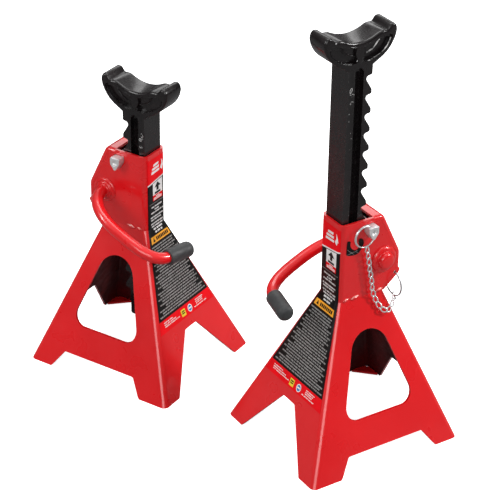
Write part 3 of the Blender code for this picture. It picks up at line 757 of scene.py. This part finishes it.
# ================================================================== column
# Saddle outlines: (distance from the middle, height from the saddle top)
SEAT = [(18.8 * i / 11, -10.6 + 5.0 * (i / 11) ** 2) for i in range(12)]
LIP = [(20.2, -5.2), (21.8, -4.9), (24.4, -4.9), (25.8, -5.2), (26.9, -5.0), (28.0, -4.0),
       (29.0, -2.6), (30.1, -1.3), (31.4, -.5), (33.0, -.1), (34.6, -.2), (36.0, -1.0),
       (37.2, -2.4)]
UNDERSIDE = [(38.1, -4.6), (38.4, -7.4), (37.4, -12.2), (35.4, -16.8), (32.3, -21.4),
             (28.2, -25.5), (23.2, -28.9), (17.2, -32.0)]
POCKET = [(4.6, -15.6), (11.0, -14.2), (18.0, -11.6), (25.0, -9.6), (30.6, -8.8), (33.4, -10.4),
          (33.2, -13.6), (30.8, -18.0), (26.4, -22.4), (20.8, -26.0), (14.4, -28.8), (8.8, -30.0),
          (4.8, -29.4)]
DEEP_POCKET = [(.4, -27.4), (2.6, -24.4), (8.6, -22.9), (14.0, -20.6), (17.8, -16.0),
               (21.6, -13.2), (27.4, -11.6), (31.0, -12.6), (31.2, -15.4), (28.4, -19.8),
               (23.6, -24.2), (16.8, -27.4), (10.2, -28.9), (4.4, -29.8)]
UPPER_RIB = [(-3.4, -30.4), (-2.0, -27.4), (-.4, -25.3), (3.0, -23.2), (9.0, -21.6),
             (14.2, -19.0), (17.8, -14.8), (20.2, -12.4)]
LOWER_RIB = [(4.4, -33.2), (7.2, -30.8), (13.6, -29.0), (21.2, -26.2), (26.8, -21.8),
             (30.2, -17.0), (31.6, -13.0)]
VEE_RIB = [(10.4, -13.4), (4.4, -15.2), (5.0, -19.8), (3.4, -24.6), (1.2, -29.4)]
# Tooth, top to bottom: (y, height from the ledge)
LEDGE = [(TIP_Y, 1.3), (TIP_Y - .5, .3), (TIP_Y - 1.5, -.1), (2.6, -.5), (1.3, -1.1)]
ROOT_AND_RAMP = [(.6, -2.1), (.4, -3.3), (.75, -4.7), (TIP_Y - .6, -13.4), (TIP_Y - .1, -14.5)]


def saddle_solid(stand):
    """Crescent with its long edges rolled over, softest along the two lips."""
    top = stand.saddle_z

    def placed(points, side):
        return [(SADDLE_MID + side * u, top + height) for u, height in points]
    half = SEAT + LIP
    outline = placed(reversed(half), -1) + placed(half[1:], 1) + placed(UNDERSIDE, 1)
    outline += [(TIP_Y + .3, top - 34.2), (COLUMN_FRONT - .2, top - 36.4)]
    outline += placed(reversed(UNDERSIDE), -1)
    roll, hx, rings = 2.4, COLUMN_HX + .03, []

    def soft(point):
        return roll * min(1.0, max(.16, (point[1] - top + 33.0) / 14.0))
    for side in (-1, 1):
        part = []
        for angle in sweep(pi / 2, 5):
            ring = shrink(outline, lambda point: soft(point) * (1 - cos(angle)))
            part.append([(side * (hx - soft(point) * (1 - sin(angle))), y, z)
                         for point, (y, z) in zip(outline, ring)])
        rings += part if side > 0 else list(reversed(part))
    bm = bmesh.new()
    loft(bm, rings)
    return stand.solid("tool", bm)


def rack(lift):
    """Down-facing ledges with rounded roots and slightly softened tips."""
    z = LEDGE_TOP + lift
    points = [(TIP_Y + .1, z + 10.2)]
    for i in range(TOOTH_COUNT):
        points += [(y, z + height) for y, height in LEDGE + ROOT_AND_RAMP]
        z -= TOOTH_PITCH
    points += [(y, z + height) for y, height in LEDGE + [(.9, -2.1)]]
    return points + [(.9, COLUMN_BOTTOM + lift + 1.5), (-.6, COLUMN_BOTTOM + lift)]


def column(stand):
    lift, top = stand.lift, stand.saddle_z
    outline = [(COLUMN_FRONT + .6, top - 30.0), (TIP_Y - .6, top - 30.0)] + rack(lift)
    outline += [(COLUMN_FRONT + 1.5, COLUMN_BOTTOM + lift),
                (COLUMN_FRONT, COLUMN_BOTTOM + lift + 2), (COLUMN_FRONT, top - 35.0)]
    bm = bmesh.new()
    prism(bm, outline, "X", -COLUMN_HX, COLUMN_HX)
    ob = stand.solid("cast_column", bm, ["cast"])
    tools = [saddle_solid(stand)]
    low, high = COLUMN_BOTTOM + 8 + lift, 387.2 + lift
    # stepped recess down each side
    recess = rounded([(-12.4, low), (-2.6, low), (-2.6, high - 4), (-5.4, high), (-12.4, high)],
                     [2.6, 2.6, 1.6, 1.6, 2.6], 5)
    deep_recess = rounded([(-9.2, low + 4), (-2.6, low + 4), (-2.6, high - 6), (-9.2, high - 3)],
                          2.0, 5)
    for side in (-1, 1):
        outside = side * (COLUMN_HX + 6)
        tools.append(stand.block(recess, "X", side * 9.4, outside))
        tools.append(stand.block(deep_recess, "X", side * 6.0, outside))
        for end in (-1, 1):
            pocket = [(RIB_MID + end * u, top + height) for u, height in POCKET]
            tools.append(stand.block(pocket, "X", side * (COLUMN_HX - 2.2), outside))
            deep = [(RIB_MID + end * (u + .6), top + height) for u, height in DEEP_POCKET]
            tools.append(stand.block(rounded(deep, .5, 2), "X", side * (COLUMN_HX - 4.4), outside))
    carve(ob, tools, tool0="UNION")
    repaint(ob, "cast")
    soften(ob, smooth=34, width=0.8, segments=3, limit=32)
    return ob


def saddle_ribs(stand):
    """Crests along the saddle's side pockets and the V under the seat."""
    bm = bmesh.new()

    def rib(points, x, end, steps, radius, sides):
        path = [(x, RIB_MID + end * u, stand.saddle_z + height) for u, height in points]
        tube(bm, catmull(path, steps), radius, sides)
    for side in (-1, 1):
        x = side * (COLUMN_HX - 1.9)
        for end in (-1, 1):
            start = len(bm.faces)
            rib(UPPER_RIB, x + side * .1, end, 5, lambda i: .62 + .12 * sin(i * .9), 10)
            rib(LOWER_RIB, x + side * .9, end, 5, lambda i: .58 + .14 * sin(i * 1.3), 10)
            if side > 0 and end > 0:           # grey at the rear of the chain side: a painted highlight where the chain-side light catches the crests
                for face in list(bm.faces)[start:]:
                    face.material_index = 1
        for end in (-1, 1):
            rib(VEE_RIB, side * (COLUMN_HX - .2), end, 4, .7, 8)
    return stand.solid("saddle_ribs", bm, ["rib", "mark"], smooth=50)


def cast_marks(stand):
    """Small raised foundry rings and ticks, high on the front flange's sides."""
    bm = bmesh.new()
    top = 367.6 + stand.lift
    # y, z from the top, half sizes, tilt in radians
    loops = ((-15.8, 0, 1.0, 2.3, -.3), (-13.9, -4.8, 1.4, 1.1, .5), (-14.4, -12.2, 1.5, 1.0, .3))
    ticks = (((-17.0, -3.4), (-15.2, -4.6), (-15.0, -6.4)), ((-16.6, -13.0), (-15.6, -12.2)))
    for side in (-1, 1):
        x = side * (COLUMN_HX + .05)
        for y, drop, half_width, half_height, tilt in loops:
            ring = []
            for angle in circle(20):
                u, v = half_width * cos(angle), half_height * sin(angle)
                ring.append((x, y + u * cos(tilt) - v * sin(tilt),
                             top + drop + u * sin(tilt) + v * cos(tilt)))
            tube(bm, ring, .34, 6, closed=True)
        for tick in ticks:
            tube(bm, [(x, y, top + drop) for y, drop in tick], .3, 6)
        for i in range(5):                     # small pimples left by the sand
            y = -17.0 + RANDOM.uniform(0, 3.6)
            z = top - 22 - i * 9 + RANDOM.uniform(-2, 2)
            spin(bm, [(0, -.4), (.5, -.3), (.45, .15), (0, .35)], (side * COLUMN_HX, y, z),
                 (side, 0, 0), 10)
    return stand.solid("cast_marks", bm, ["mark"], smooth=50)


# ================================================================== handle
def handle_point(x, reach):
    """Point in the handle's plane, reach away from the axle line."""
    return Vector((x, AXLE_Y - reach * cos(HANDLE_DIP), AXLE_Z - reach * sin(HANDLE_DIP)))


def handle_rod_and_grip(stand):
    grip_end = tuple(start + step * GRIP_LENGTH for start, step in zip(GRIP_START, GRIP_DIRECTION))
    path = [(TOWER_HX - 2.8, 0.0)]
    path += bezier([(-20.0, 0.0), (-36.0, 0.0), (-52.0, 15.0), (-52.6, 46.0)], 22)
    path += bezier([(-52.6, 46.0), (-53.2, 70.0), (-52.5, 90.0), GRIP_START], 22)[1:]
    path.append(grip_end)
    bm = bmesh.new()
    tube(bm, [handle_point(*point) for point in path], 5.75, 28)
    rod = stand.solid("bent_handle", bm, ["red"], smooth=50)
    start = handle_point(*GRIP_START)
    along = handle_point(*grip_end) - start
    length = along.length
    along = along.normalized()
    profile = [(5.9, 0.6), (7.2, 0.2), (7.8, 0.5), (8.0, 1.2), (8.0, length * .5),
               (8.05, length - 4.0), (8.1, length - 3.6), (7.9, length - 3.2),
               (8.0, length - 2.6)]
    profile += [(8.0 * cos(angle) ** .62, length - 2.6 + 5.4 * sin(angle))
                for angle in sweep(pi / 2, 9)[1:-1]]
    profile.append((0, length + 2.9))
    bm = bmesh.new()
    spin(bm, profile, start + along * 0.6, along, 40)
    return rod, stand.solid("handle_sleeve", bm, ["grip"], smooth=60)


def handle_collar(stand):
    """Stepped collar between the handle's bend and the side plate, with pressed rings."""
    bm = bmesh.new()
    profile = [(5.9, .3), (12.6, .15), (12.4, .6), (11.6, 1.5), (10.7, 1.9), (9.9, 1.6),
               (9.5, 1.2), (9.1, 1.3), (8.8, 2.2), (8.2, 2.9), (7.5, 3.0), (7.0, 2.7), (6.8, 3.2),
               (6.4, 3.8), (5.9, 4.0)]
    spin(bm, profile, (-TOWER_HX, AXLE_Y, AXLE_Z), (-1, 0, 0), 48)
    return stand.solid("handle_collar", bm, ["red"], smooth=60)


def axle_boss(stand):
    """Pressed boss and domed axle end on the chain side."""
    bm = bmesh.new()
    profile = [(13.6, .1), (13.4, .8), (12.8, 1.7), (11.8, 2.4), (10.6, 2.8), (9.8, 2.8),
               (9.1, 2.6), (8.7, 2.8), (8.5, 3.8), (8.3, 5.2), (7.8, 6.4), (6.8, 7.2), (5.0, 7.6),
               (2.5, 7.8), (0, 7.9)]
    spin(bm, profile, (TOWER_HX + .1, AXLE_Y, AXLE_Z), (1, 0, 0), 56)
    return stand.solid("axle_boss", bm, ["red"], smooth=75)


# ================================================================== lock bar, rings, chain
def lock_bar(stand):
    """Zinc bar through the slot, with a round dimple in each end."""
    front, rear, top, hx = BAR_FRONT, BAR_REAR, BAR_TOP, TOWER_HX + 8.0
    outline = rounded([(front, top), (front, top - 5.6), (front + 4.4, top - 12.9),
                       (front + 6.4, top - 13.2), (rear, top - 7.2), (rear, top)],
                      [1.0, 1.6, 1.0, 1.0, 1.6, 1.0], 3)
    bm = bmesh.new()
    prism(bm, outline, "X", -hx, hx)
    ob = stand.solid("zinc_lock_bar", bm, ["zinc"])
    tools = []
    for side in (-1, 1):
        bm = bmesh.new()
        spin(bm, [(0, -2.2), (1.6, -1.9), (2.6, -1.0), (3.0, .2), (3.0, 3)],
             (side * hx, 9.4, 223.6), (side, 0, 0), 24)
        tools.append(stand.solid("tool", bm))
    carve(ob, tools)
    repaint(ob, "zinc")
    soften(ob, smooth=32, width=0.5, segments=2, limit=34)
    return ob


def split_ring(stand, part, material, centre, across, radius, start):
    """Upright wire ring wound nearly twice, its turns side by side."""
    up = Vector((0, 0, 1))
    normal = across.cross(up).normalized()
    wire, turns, steps = .8, 1.78, 84
    path = []
    for i in range(steps + 1):
        angle = 2 * pi * turns * i / steps + start
        reach = radius + wire * .3 * sin(angle * .5)
        path.append(centre + (across * cos(angle) + up * sin(angle)) * reach
                    + normal * ((i / steps - .5) * wire * 1.5))
    bm = bmesh.new()
    tube(bm, path, wire * .78, 9)
    return stand.solid(part, bm, [material], smooth=60)


# (x, y, z) down the chain, from the lock bar's ring to the anchor ring
CHAIN_POINTS = ((21.4, 3.0, 209.3), (20.6, 5.2, 202.0), (20.4, 7.5, 191.5), (20.4, 9.2, 181.2),
                (20.4, 11.5, 170.6), (20.6, 13.0, 159.5), (22.2, 16.4, 148.5), (25.6, 21.2, 139.8),
                (27.2, 27.0, 137.0), (25.0, 33.0, 139.4), (20.4, 38.6, 143.6), (16.0, 41.0, 145.8))


def chain(stand):
    """Twist-link chain: every link is turned a quarter about the run, so the chain lies flat."""
    points = catmull(CHAIN_POINTS, 24)
    lengths, sides = [0.0], []         # length so far, and a direction across each segment
    side = Vector((0, 1, 0))
    for start, end in zip(points, points[1:]):
        lengths.append(lengths[-1] + (end - start).length)
        tangent = (end - start).normalized()
        side = (side - tangent * side.dot(tangent)).normalized()
        sides.append(side.copy())
    wire, wanted_pitch, half_width, twist = .70, 7.2, 2.15, radians(43)
    count = round(lengths[-1] / wanted_pitch)
    pitch = lengths[-1] / count
    half_length = pitch * .5 + wire
    bm = bmesh.new()
    for link in range(count):
        place = (link + .5) * pitch
        i = next(i for i in range(len(sides)) if lengths[i + 1] >= place)
        part = (place - lengths[i]) / (lengths[i + 1] - lengths[i])
        centre = points[i].lerp(points[i + 1], part)
        tangent = (points[i + 1] - points[i]).normalized()
        other = tangent.cross(sides[i])
        lean = RANDOM.uniform(-.22, .22)
        ring = []
        for angle in circle(28):
            turn = lean + twist * cos(angle)
            bulge = sin(angle) * (1 - .10 * cos(angle) ** 2)
            ring.append(centre + tangent * (half_length * cos(angle))
                        + (sides[i] * cos(turn) + other * sin(turn)) * half_width * bulge)
        tube(bm, ring, wire, 8, closed=True)
    return stand.solid("twist_link_chain", bm, ["link"], smooth=60)


# ================================================================== labels
FILMS = ["f_black", "f_red", "f_white", "f_grey", "f_orange", "f_yellow", "f_blue"]
BLACK, RED, WHITE, GREY, ORANGE, YELLOW, BLUE = range(7)
# heights of the printed layers off the sheet
FILM = .28
PRINT = FILM + .05
SYMBOL = PRINT + .03
OVERPRINT = SYMBOL + .03


def on_front(x, z, off):
    """Point off the front face, given by its x and z."""
    if z >= WAIST_Z:
        y, normal, hx = -FRONT_Y, Vector((0, -1, 0)), TOWER_HX
    else:
        slope = (BASE_HY - FRONT_Y) / WAIST_Z
        y, normal, hx = front_y(z), Vector((0, -1, slope)).normalized(), half_x(z)
    flat = hx - BEND_OUTER
    if abs(x) > flat:                  # film wraps a little way round the corner bend
        angle = min(1.2, (abs(x) - flat) / BEND_OUTER)
        y += BEND_OUTER * (1 - cos(angle))
        x = copysign(flat + BEND_OUTER * sin(angle), x)
    return Vector((x, y, z)) + normal * off


def front_print(stand):
    """Printed film over the waist fold: panels, bars for lines of print and plain symbols."""
    bm = bmesh.new()

    def patch(corners, film, off, rows=1):
        """corners: bottom left, bottom right, top right, top left in (x, z)."""
        low_left, low_right, top_right, top_left = [Vector(c) for c in corners]
        columns, grid = 16, []
        for j in range(rows + 1):
            row = []
            for i in range(columns + 1):
                low = low_left.lerp(low_right, i / columns)
                high = top_left.lerp(top_right, i / columns)
                row.append(bm.verts.new(on_front(*low.lerp(high, j / rows), off)))
            grid.append(row)
        for low, high in zip(grid, grid[1:]):
            for i in range(columns):
                face = bm.faces.new((low[i], low[i + 1], high[i + 1], high[i]))
                face.material_index = film

    def shape(points, film, off):
        face = bm.faces.new([bm.verts.new(on_front(x, z, off)) for x, z in points])
        face.material_index = film

    def bar(left, bottom, right, top, film, off):
        shape([(left, bottom), (right, bottom), (right, top), (left, top)], film, off)

    def words(z, left, right, height, film):
        """A line of print as short blocks of uneven length, no letters."""
        x = left
        while x < right - .8:
            width = min(RANDOM.uniform(1.4, 4.6), right - x)
            stroke = x
            while stroke < x + width - .3:     # each word is a row of small strokes
                thick = RANDOM.uniform(.55, .95)
                shift = RANDOM.uniform(-.12, .12)
                bar(stroke, z - height / 2 + shift, stroke + thick, z + height / 2 + shift * .5,
                    film, PRINT)
                stroke += thick + .22
            x += width + .75

    middle, tower_half = 0.9, 14.0

    def half(z):
        """Half width of the film."""
        return tower_half if z >= WAIST_Z else tower_half + (WAIST_Z - z) * .350

    # panels, top to bottom; the line between the upper two rises towards the chain side
    left, right = middle - tower_half, middle + tower_half
    divide, rise = 205.0, tower_half * .142
    top, black_bottom, bottom = 229.4, 73.0, 61.5
    patch([(left, divide - rise), (right, divide + rise), (right, top), (left, top)], RED, FILM, 2)
    patch([(left, WAIST_Z), (right, WAIST_Z), (right, divide + rise), (left, divide - rise)],
          BLACK, FILM, 3)
    wide, foot = half(black_bottom), half(bottom)
    patch([(-wide, black_bottom), (wide, black_bottom), (right, WAIST_Z), (left, WAIST_Z)],
          BLACK, FILM, 6)
    patch([(-foot, bottom), (foot, bottom), (wide, black_bottom), (-wide, black_bottom)],
          RED, FILM, 2)
    patch([(left, divide - 1.2 - rise), (right, divide - 1.2 + rise), (right, divide + .2 + rise),
           (left, divide + .2 - rise)], WHITE, PRINT)
    # plain mark: three slanted stripes beside a flash
    for z, x, width in ((221.0, -4.2, 8.4), (217.2, -6.4, 11.4), (213.4, -7.4, 13.0)):
        shape([(x, z - .5), (x + width, z + .1), (x + width + .5, z + 2.6), (x + .5, z + 2.0)],
              WHITE, PRINT)
    shape([(7.2, 215.4), (10.2, 212.6), (12.4, 216.6), (11.2, 221.4), (9.2, 224.6), (9.6, 219.6)],
          WHITE, PRINT)
    # white box with a plain lifting symbol, red band under it
    shape([(-5.2, 188.4), (10.6, 188.4), (10.6, 204.3), (-5.2, 202.2)], WHITE, PRINT)
    bar(-2.2, 189.6, 7.4, 192.0, BLACK, SYMBOL)
    bar(.8, 193.0, 4.4, 197.4, BLACK, SYMBOL)
    shape([(-2.4, 197.0), (7.6, 197.0), (2.6, 202.2)], BLACK, SYMBOL)
    bar(-5.2, 183.0, 10.6, 189.0, RED, SYMBOL)
    for z, start, end in ((187.2, -.2, 5.4), (185.6, -3.8, 9.0), (184.2, -3.8, 9.0)):
        bar(start, z - .45, end, z + .45, WHITE, OVERPRINT)
    x = -10.6
    while x < 12.6:                            # dotted rule
        bar(x, 180.2, x + .75, 180.8, GREY, PRINT)
        x += 1.35
    # white lines: z, left, right, height
    for line in ((176.6, -7.6, 10.2, 1.5), (173.4, -2.6, 6.0, 1.5), (170.4, -8.4, 11.4, 1.5),
                 (165.6, -9.0, 11.2, 1.5), (162.6, -8.4, 9.0, 1.5), (158.4, -8.8, 11.0, 1.5),
                 (155.2, -7.6, 10.4, 1.6), (152.0, -5.6, 8.6, 1.6), (149.0, -4.4, 7.0, 1.6)):
        words(*line, WHITE)
    # orange band with a plain triangle and blocks
    patch([(-15.2, 140.2), (16.4, 140.2), (14.4, 146.4), (-13.4, 146.4)], ORANGE, PRINT)
    shape([(-11.8, 141.4), (-8.2, 141.4), (-10.0, 145.3)], BLACK, SYMBOL)
    for i in range(8):
        x = -6.2 + 2.5 * i
        bar(x, 141.6, x + 1.9, 144.9, BLACK, SYMBOL)
    # grey lines down the leg, shortened in a cycle of six
    z, i, centre = 137.2, 0, middle * .6
    while z > 76.0:
        full = half(z) - 2.4
        short = (0, .18, .06, .3, .02, .12)[i % 6]
        words(z, centre - full * (1 - short), centre + full * (1 - short * .8), 1.2, GREY)
        z -= 2.55
        i += 1
    # bottom strip: two small blocks of print, a yellow square and a round symbol
    for i, end in enumerate((-22, -16, -10)):
        words(70.0 - i * 1.9, -36, end, .9, WHITE)
    bar(-7.6, 63.6, -.8, 70.2, YELLOW, PRINT)
    for z in (65.8, 67.7):
        bar(-6.6, z, -1.8, z + 1.1, BLACK, SYMBOL)
    for half_x_size, half_z_size, film, off in ((3.5, 3.7, WHITE, PRINT), (2.6, 2.8, BLUE, SYMBOL)):
        shape([(7.2 + half_x_size * cos(angle), 67.0 + half_z_size * sin(angle))
               for angle in circle(24)], film, off)
    bar(5.0, 66.4, 9.4, 67.8, WHITE, OVERPRINT)
    for i in range(3):
        words(70.2 - i * 1.7, 18, 31 - i, .9, WHITE)
    words(64.6, 14, 34, .9, WHITE)
    return stand.film("front_print", bm, FILMS)


def side_print(stand):
    """Dark hooked symbol crossed by thin grey lines, on the chain-side plate."""
    bm = bmesh.new()

    def raised(points, film, off):
        start = len(bm.faces)
        low = TOWER_HX + .3 + off
        prism(bm, points, "X", low, low + .12)
        for face in list(bm.faces)[start:]:
            face.material_index = film
    hook = [(-15.6, 217.5), (-15.8, 210.0), (-15.9, 203.0), (-8.5, 201.5), (-2.4, 201.7),
            (.8, 206.0), (3.3, 210.4), (2.7, 215.1), (-.4, 217.5), (-2.5, 217.0), (-2.9, 214.1),
            (-1.9, 210.6), (-2.2, 207.5), (-5.3, 205.9), (-8.8, 207.5), (-11.4, 210.9),
            (-12.1, 214.3), (-11.3, 216.6), (-13.4, 218.2)]
    for turn in range(2):                      # corners cut twice over
        hook = [tuple(Vector(p).lerp(Vector(q), t))
                for p, q in zip(hook, hook[1:] + hook[:1]) for t in (.22, .78)]
    raised(hook, 0, 0)
    for start, end, half_width in (((-15.2, 209.4), (-7.4, 202.4), .13),
                                   ((-15.2, 203.8), (-3.6, 205.6), .12),
                                   ((-6.4, 205.4), (-2.6, 202.6), .11)):
        start, end = Vector(start), Vector(end)
        along = end - start
        across = Vector((-along.y, along.x)).normalized() * half_width
        raised([start - across, end - across, end + across, start + across], 1, .14)
    return stand.solid("side_print", bm, ["f_black", "f_grey"])


# ================================================================== welds
def waist_tacks(stand):
    """Short painted tacks along the fold above each side panel."""
    bm = bmesh.new()
    for side in (-1, 1):
        for y, reach, size in ((-13.8, 2.8, 2.1), (-4.0, 4.6, 2.5), (23.6, 3.8, 2.5)):
            path = [(side * (TOWER_HX + .3), y - reach, WAIST_Z + .7),
                    (side * (TOWER_HX + .5), y, WAIST_Z + 1.6),
                    (side * (TOWER_HX + .2), y + reach, WAIST_Z + 2.4)]
            # thickest halfway along its 14 steps, slightly rippled
            tube(bm, catmull(path, 7), lambda i: .25 + .6 * size * sin(
                pi * min(max(i, .4), 13.6) / 14) * (1 + .12 * sin(i * 2.1)), 12)
    # their material paints a light pink highlight on the upward faces
    return stand.solid("waist_tacks", bm, ["tack"], smooth=60)


def rear_weld(stand):
    """Rippled half-round bead up the rear seam."""
    normal = Vector((0, 1, (BASE_HY - REAR_Y) / WAIST_Z)).normalized()
    bottom, steps, ripple_pitch, rings = 55.0, 92, 2.1, []
    for i in range(steps + 1):
        z = bottom + (WAIST_Z - 3 - bottom) * i / steps
        wander = .25 * noise.noise(Vector((0, 0, z * .2)))
        centre = Vector((wander, rear_y(z), z)) - normal * .2
        taper = min(1.0, i / 3, (steps - i) / 3) * .6 + .4
        ripple = 1 + .14 * sin(z * 2 * pi / ripple_pitch)
        half_width, height = 2.6 * taper * ripple, 1.35 * taper * ripple
        rings.append([centre + Vector((half_width * cos(angle), 0, 0))
                      + normal * (height * sin(angle)) for angle in sweep(pi, 8)])
    bm = bmesh.new()
    loft(bm, rings)
    return stand.solid("rear_weld", bm, ["weld"], smooth=60)


# ================================================================== build
# CAD pieces that keep their shape and are only painted
SIDES = ("handle_side", "chain_side")
KEPT = {
    "red": ["column_guide"] + ["sole_plate_%s_%s" % (end, side)
                               for end in ("front", "rear") for side in SIDES],
    "weld": ["cover_weld_" + side for side in SIDES],
    "steel": ["pawl", "pawl_roll_pin"] + [part + side for part in ("stop_stud_", "axle_spacer_")
                                          for side in SIDES],
}


def build(stand):
    for material, parts in KEPT.items():
        for part in parts:
            repaint(frame["nodes"][stand.prefix + part], material)
    attach = stand.attach
    attach(base_shell(stand), "frame", "red_paint", "base_shell")
    attach(rear_cover(stand), "frame", "red_paint", "rear_cover")
    attach(column(stand), "column", "black_cast", "ratchet_column")
    attach(saddle_ribs(stand), "column", "black_cast")
    attach(cast_marks(stand), "column", "black_cast")
    rod, grip = handle_rod_and_grip(stand)
    collar, boss = handle_collar(stand), axle_boss(stand)
    attach(rod, "handle", "red_paint", "handle_rod")
    attach(grip, "handle", "grip_rubber", "handle_grip")
    attach(collar, "handle", "red_paint", "handle_washer")
    attach(boss, "handle", "red_paint", "axle_cap")
    bar = lock_bar(stand)
    ring = split_ring(stand, "split_ring", "link", centre=Vector((21.2, 1.2, 220.3)),
                      across=Vector((0, 1, 0)), radius=10.6, start=.9)
    attach(bar, "secondary_lock", "zinc_plate", "lock_bar")
    attach(ring, "secondary_lock", "zinc_plate", "bar_ring")
    links = chain(stand)
    anchor = split_ring(stand, "chain_anchor_ring", "ring",
                        centre=Vector((TOWER_HX - SHEET / 2, HOLE_Y, HOLE_Z - 12.3)),
                        across=Vector((1, 0, 0)), radius=12.4, start=2.4)
    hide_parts(stand.prefix + "lock_chain")
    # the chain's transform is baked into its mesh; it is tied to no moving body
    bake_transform(links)
    attach(anchor, "frame", "zinc_plate", "anchor_ring")
    attach(front_print(stand), "frame", "label", "front_label")
    attach(side_print(stand), "frame", "label", "lock_label")
    attach(waist_tacks(stand), "frame", "red_paint")
    attach(rear_weld(stand), "frame", "weld", "rear_seam_weld")


for number in (1, 2):
    build(Stand(number))


# ================================================================== stage, metres
def floor_paint(name):
    """Pale floor, bright for the camera and dimmer in reflections and bounced light."""
    mat = Surface(name)
    colour = mat.tones(dark=(0.90, 0.90, 0.90), light=(0.94, 0.94, 0.94), scale=1.2, detail=3)
    seen = mat.node("ShaderNodeLightPath").outputs["Is Camera Ray"]
    mat.shade(Base_Color=mat.mix(seen, (0.20, 0.20, 0.20), colour), Roughness=0.7,
              Specular_IOR_Level=0.1, Emission_Color=(1, 1, 1),
              Emission_Strength=mat.times(seen, 0.88))
    return mat.material


def add_floor():
    bm = bmesh.new()
    for corner in ((-9, -9, 0), (9, -9, 0), (9, 9, 0), (-9, 9, 0)):
        bm.verts.new(corner)
    bm.faces.new(bm.verts)
    mesh = bpy.data.meshes.new("studio_floor")
    bm.to_mesh(mesh)
    bm.free()
    mesh.materials.append(floor_paint("studio_floor"))
    floor = bpy.data.objects.new("studio_floor", mesh)
    bpy.context.scene.collection.objects.link(floor)


def set_world(scene):
    """Even grey light; reflections see a gradient from dark below to white overhead."""
    world = bpy.data.worlds.new("studio")
    world.use_nodes = True
    sky = Nodes(world.node_tree, "Generated")
    height = sky.node("ShaderNodeSeparateXYZ", Vector=sky.position).outputs["Z"]
    gradient = sky.ramp(height, [(0.0, (.10, .10, .10)), (.45, (.22, .22, .22)),
                                 (1.0, (1, 1, 1))])
    glossy = sky.node("ShaderNodeLightPath").outputs["Is Glossy Ray"]
    sky.feed_named(sky.tree.nodes["Background"], dict(
        Color=sky.mix(glossy, (.46, .46, .47), gradient), Strength=0.9))
    scene.world = world


def area_light(scene, name, location, target, size, watts):
    light = bpy.data.lights.new(name, "AREA")
    light.energy = watts
    light.shape = "RECTANGLE"
    light.size, light.size_y = size
    ob = bpy.data.objects.new(name, light)
    ob.location = location
    aim = Vector(target) - Vector(location)
    ob.rotation_euler = aim.to_track_quat("-Z", "Y").to_euler()
    scene.collection.objects.link(ob)


def add_camera(scene):
    camera = bpy.data.cameras.new("photo_view")
    camera.sensor_width = 36
    camera.lens = 139.81248
    camera.clip_start = 0.05
    camera.clip_end = 50
    ob = bpy.data.objects.new("photo_view", camera)
    down, roll = radians(30.163), radians(0.895)
    ob.matrix_world = (Matrix.Translation((0.00975, -1.6132, 1.0952))
                       @ Matrix.Rotation(pi / 2 - down, 4, "X") @ Matrix.Rotation(roll, 4, "Z"))
    scene.collection.objects.link(ob)
    scene.camera = ob


scene = bpy.context.scene
add_floor()
set_world(scene)
scene.view_settings.view_transform = "Standard"
# name, location, target, (width, height), watts
for light in (("front_box", (-.25, -2.3, 1.25), (0, 0, .2), (1.7, 1.2), 27),
              ("left_box", (-1.7, -.55, 1.2), (0, 0, .18), (0.35, 1.0), 15),
              ("right_box", (1.78, -.10, 1.24), (0, 0, .18), (0.24, 0.7), 30),
              ("back_box", (.1, 2.2, 1.45), (0, 0, .25), (1.9, 0.7), 10),
              ("top_box", (0.0, 0.35, 1.9), (0, 0, .1), (1.1, 0.8), 14)):
    area_light(scene, *light)
add_camera(scene)
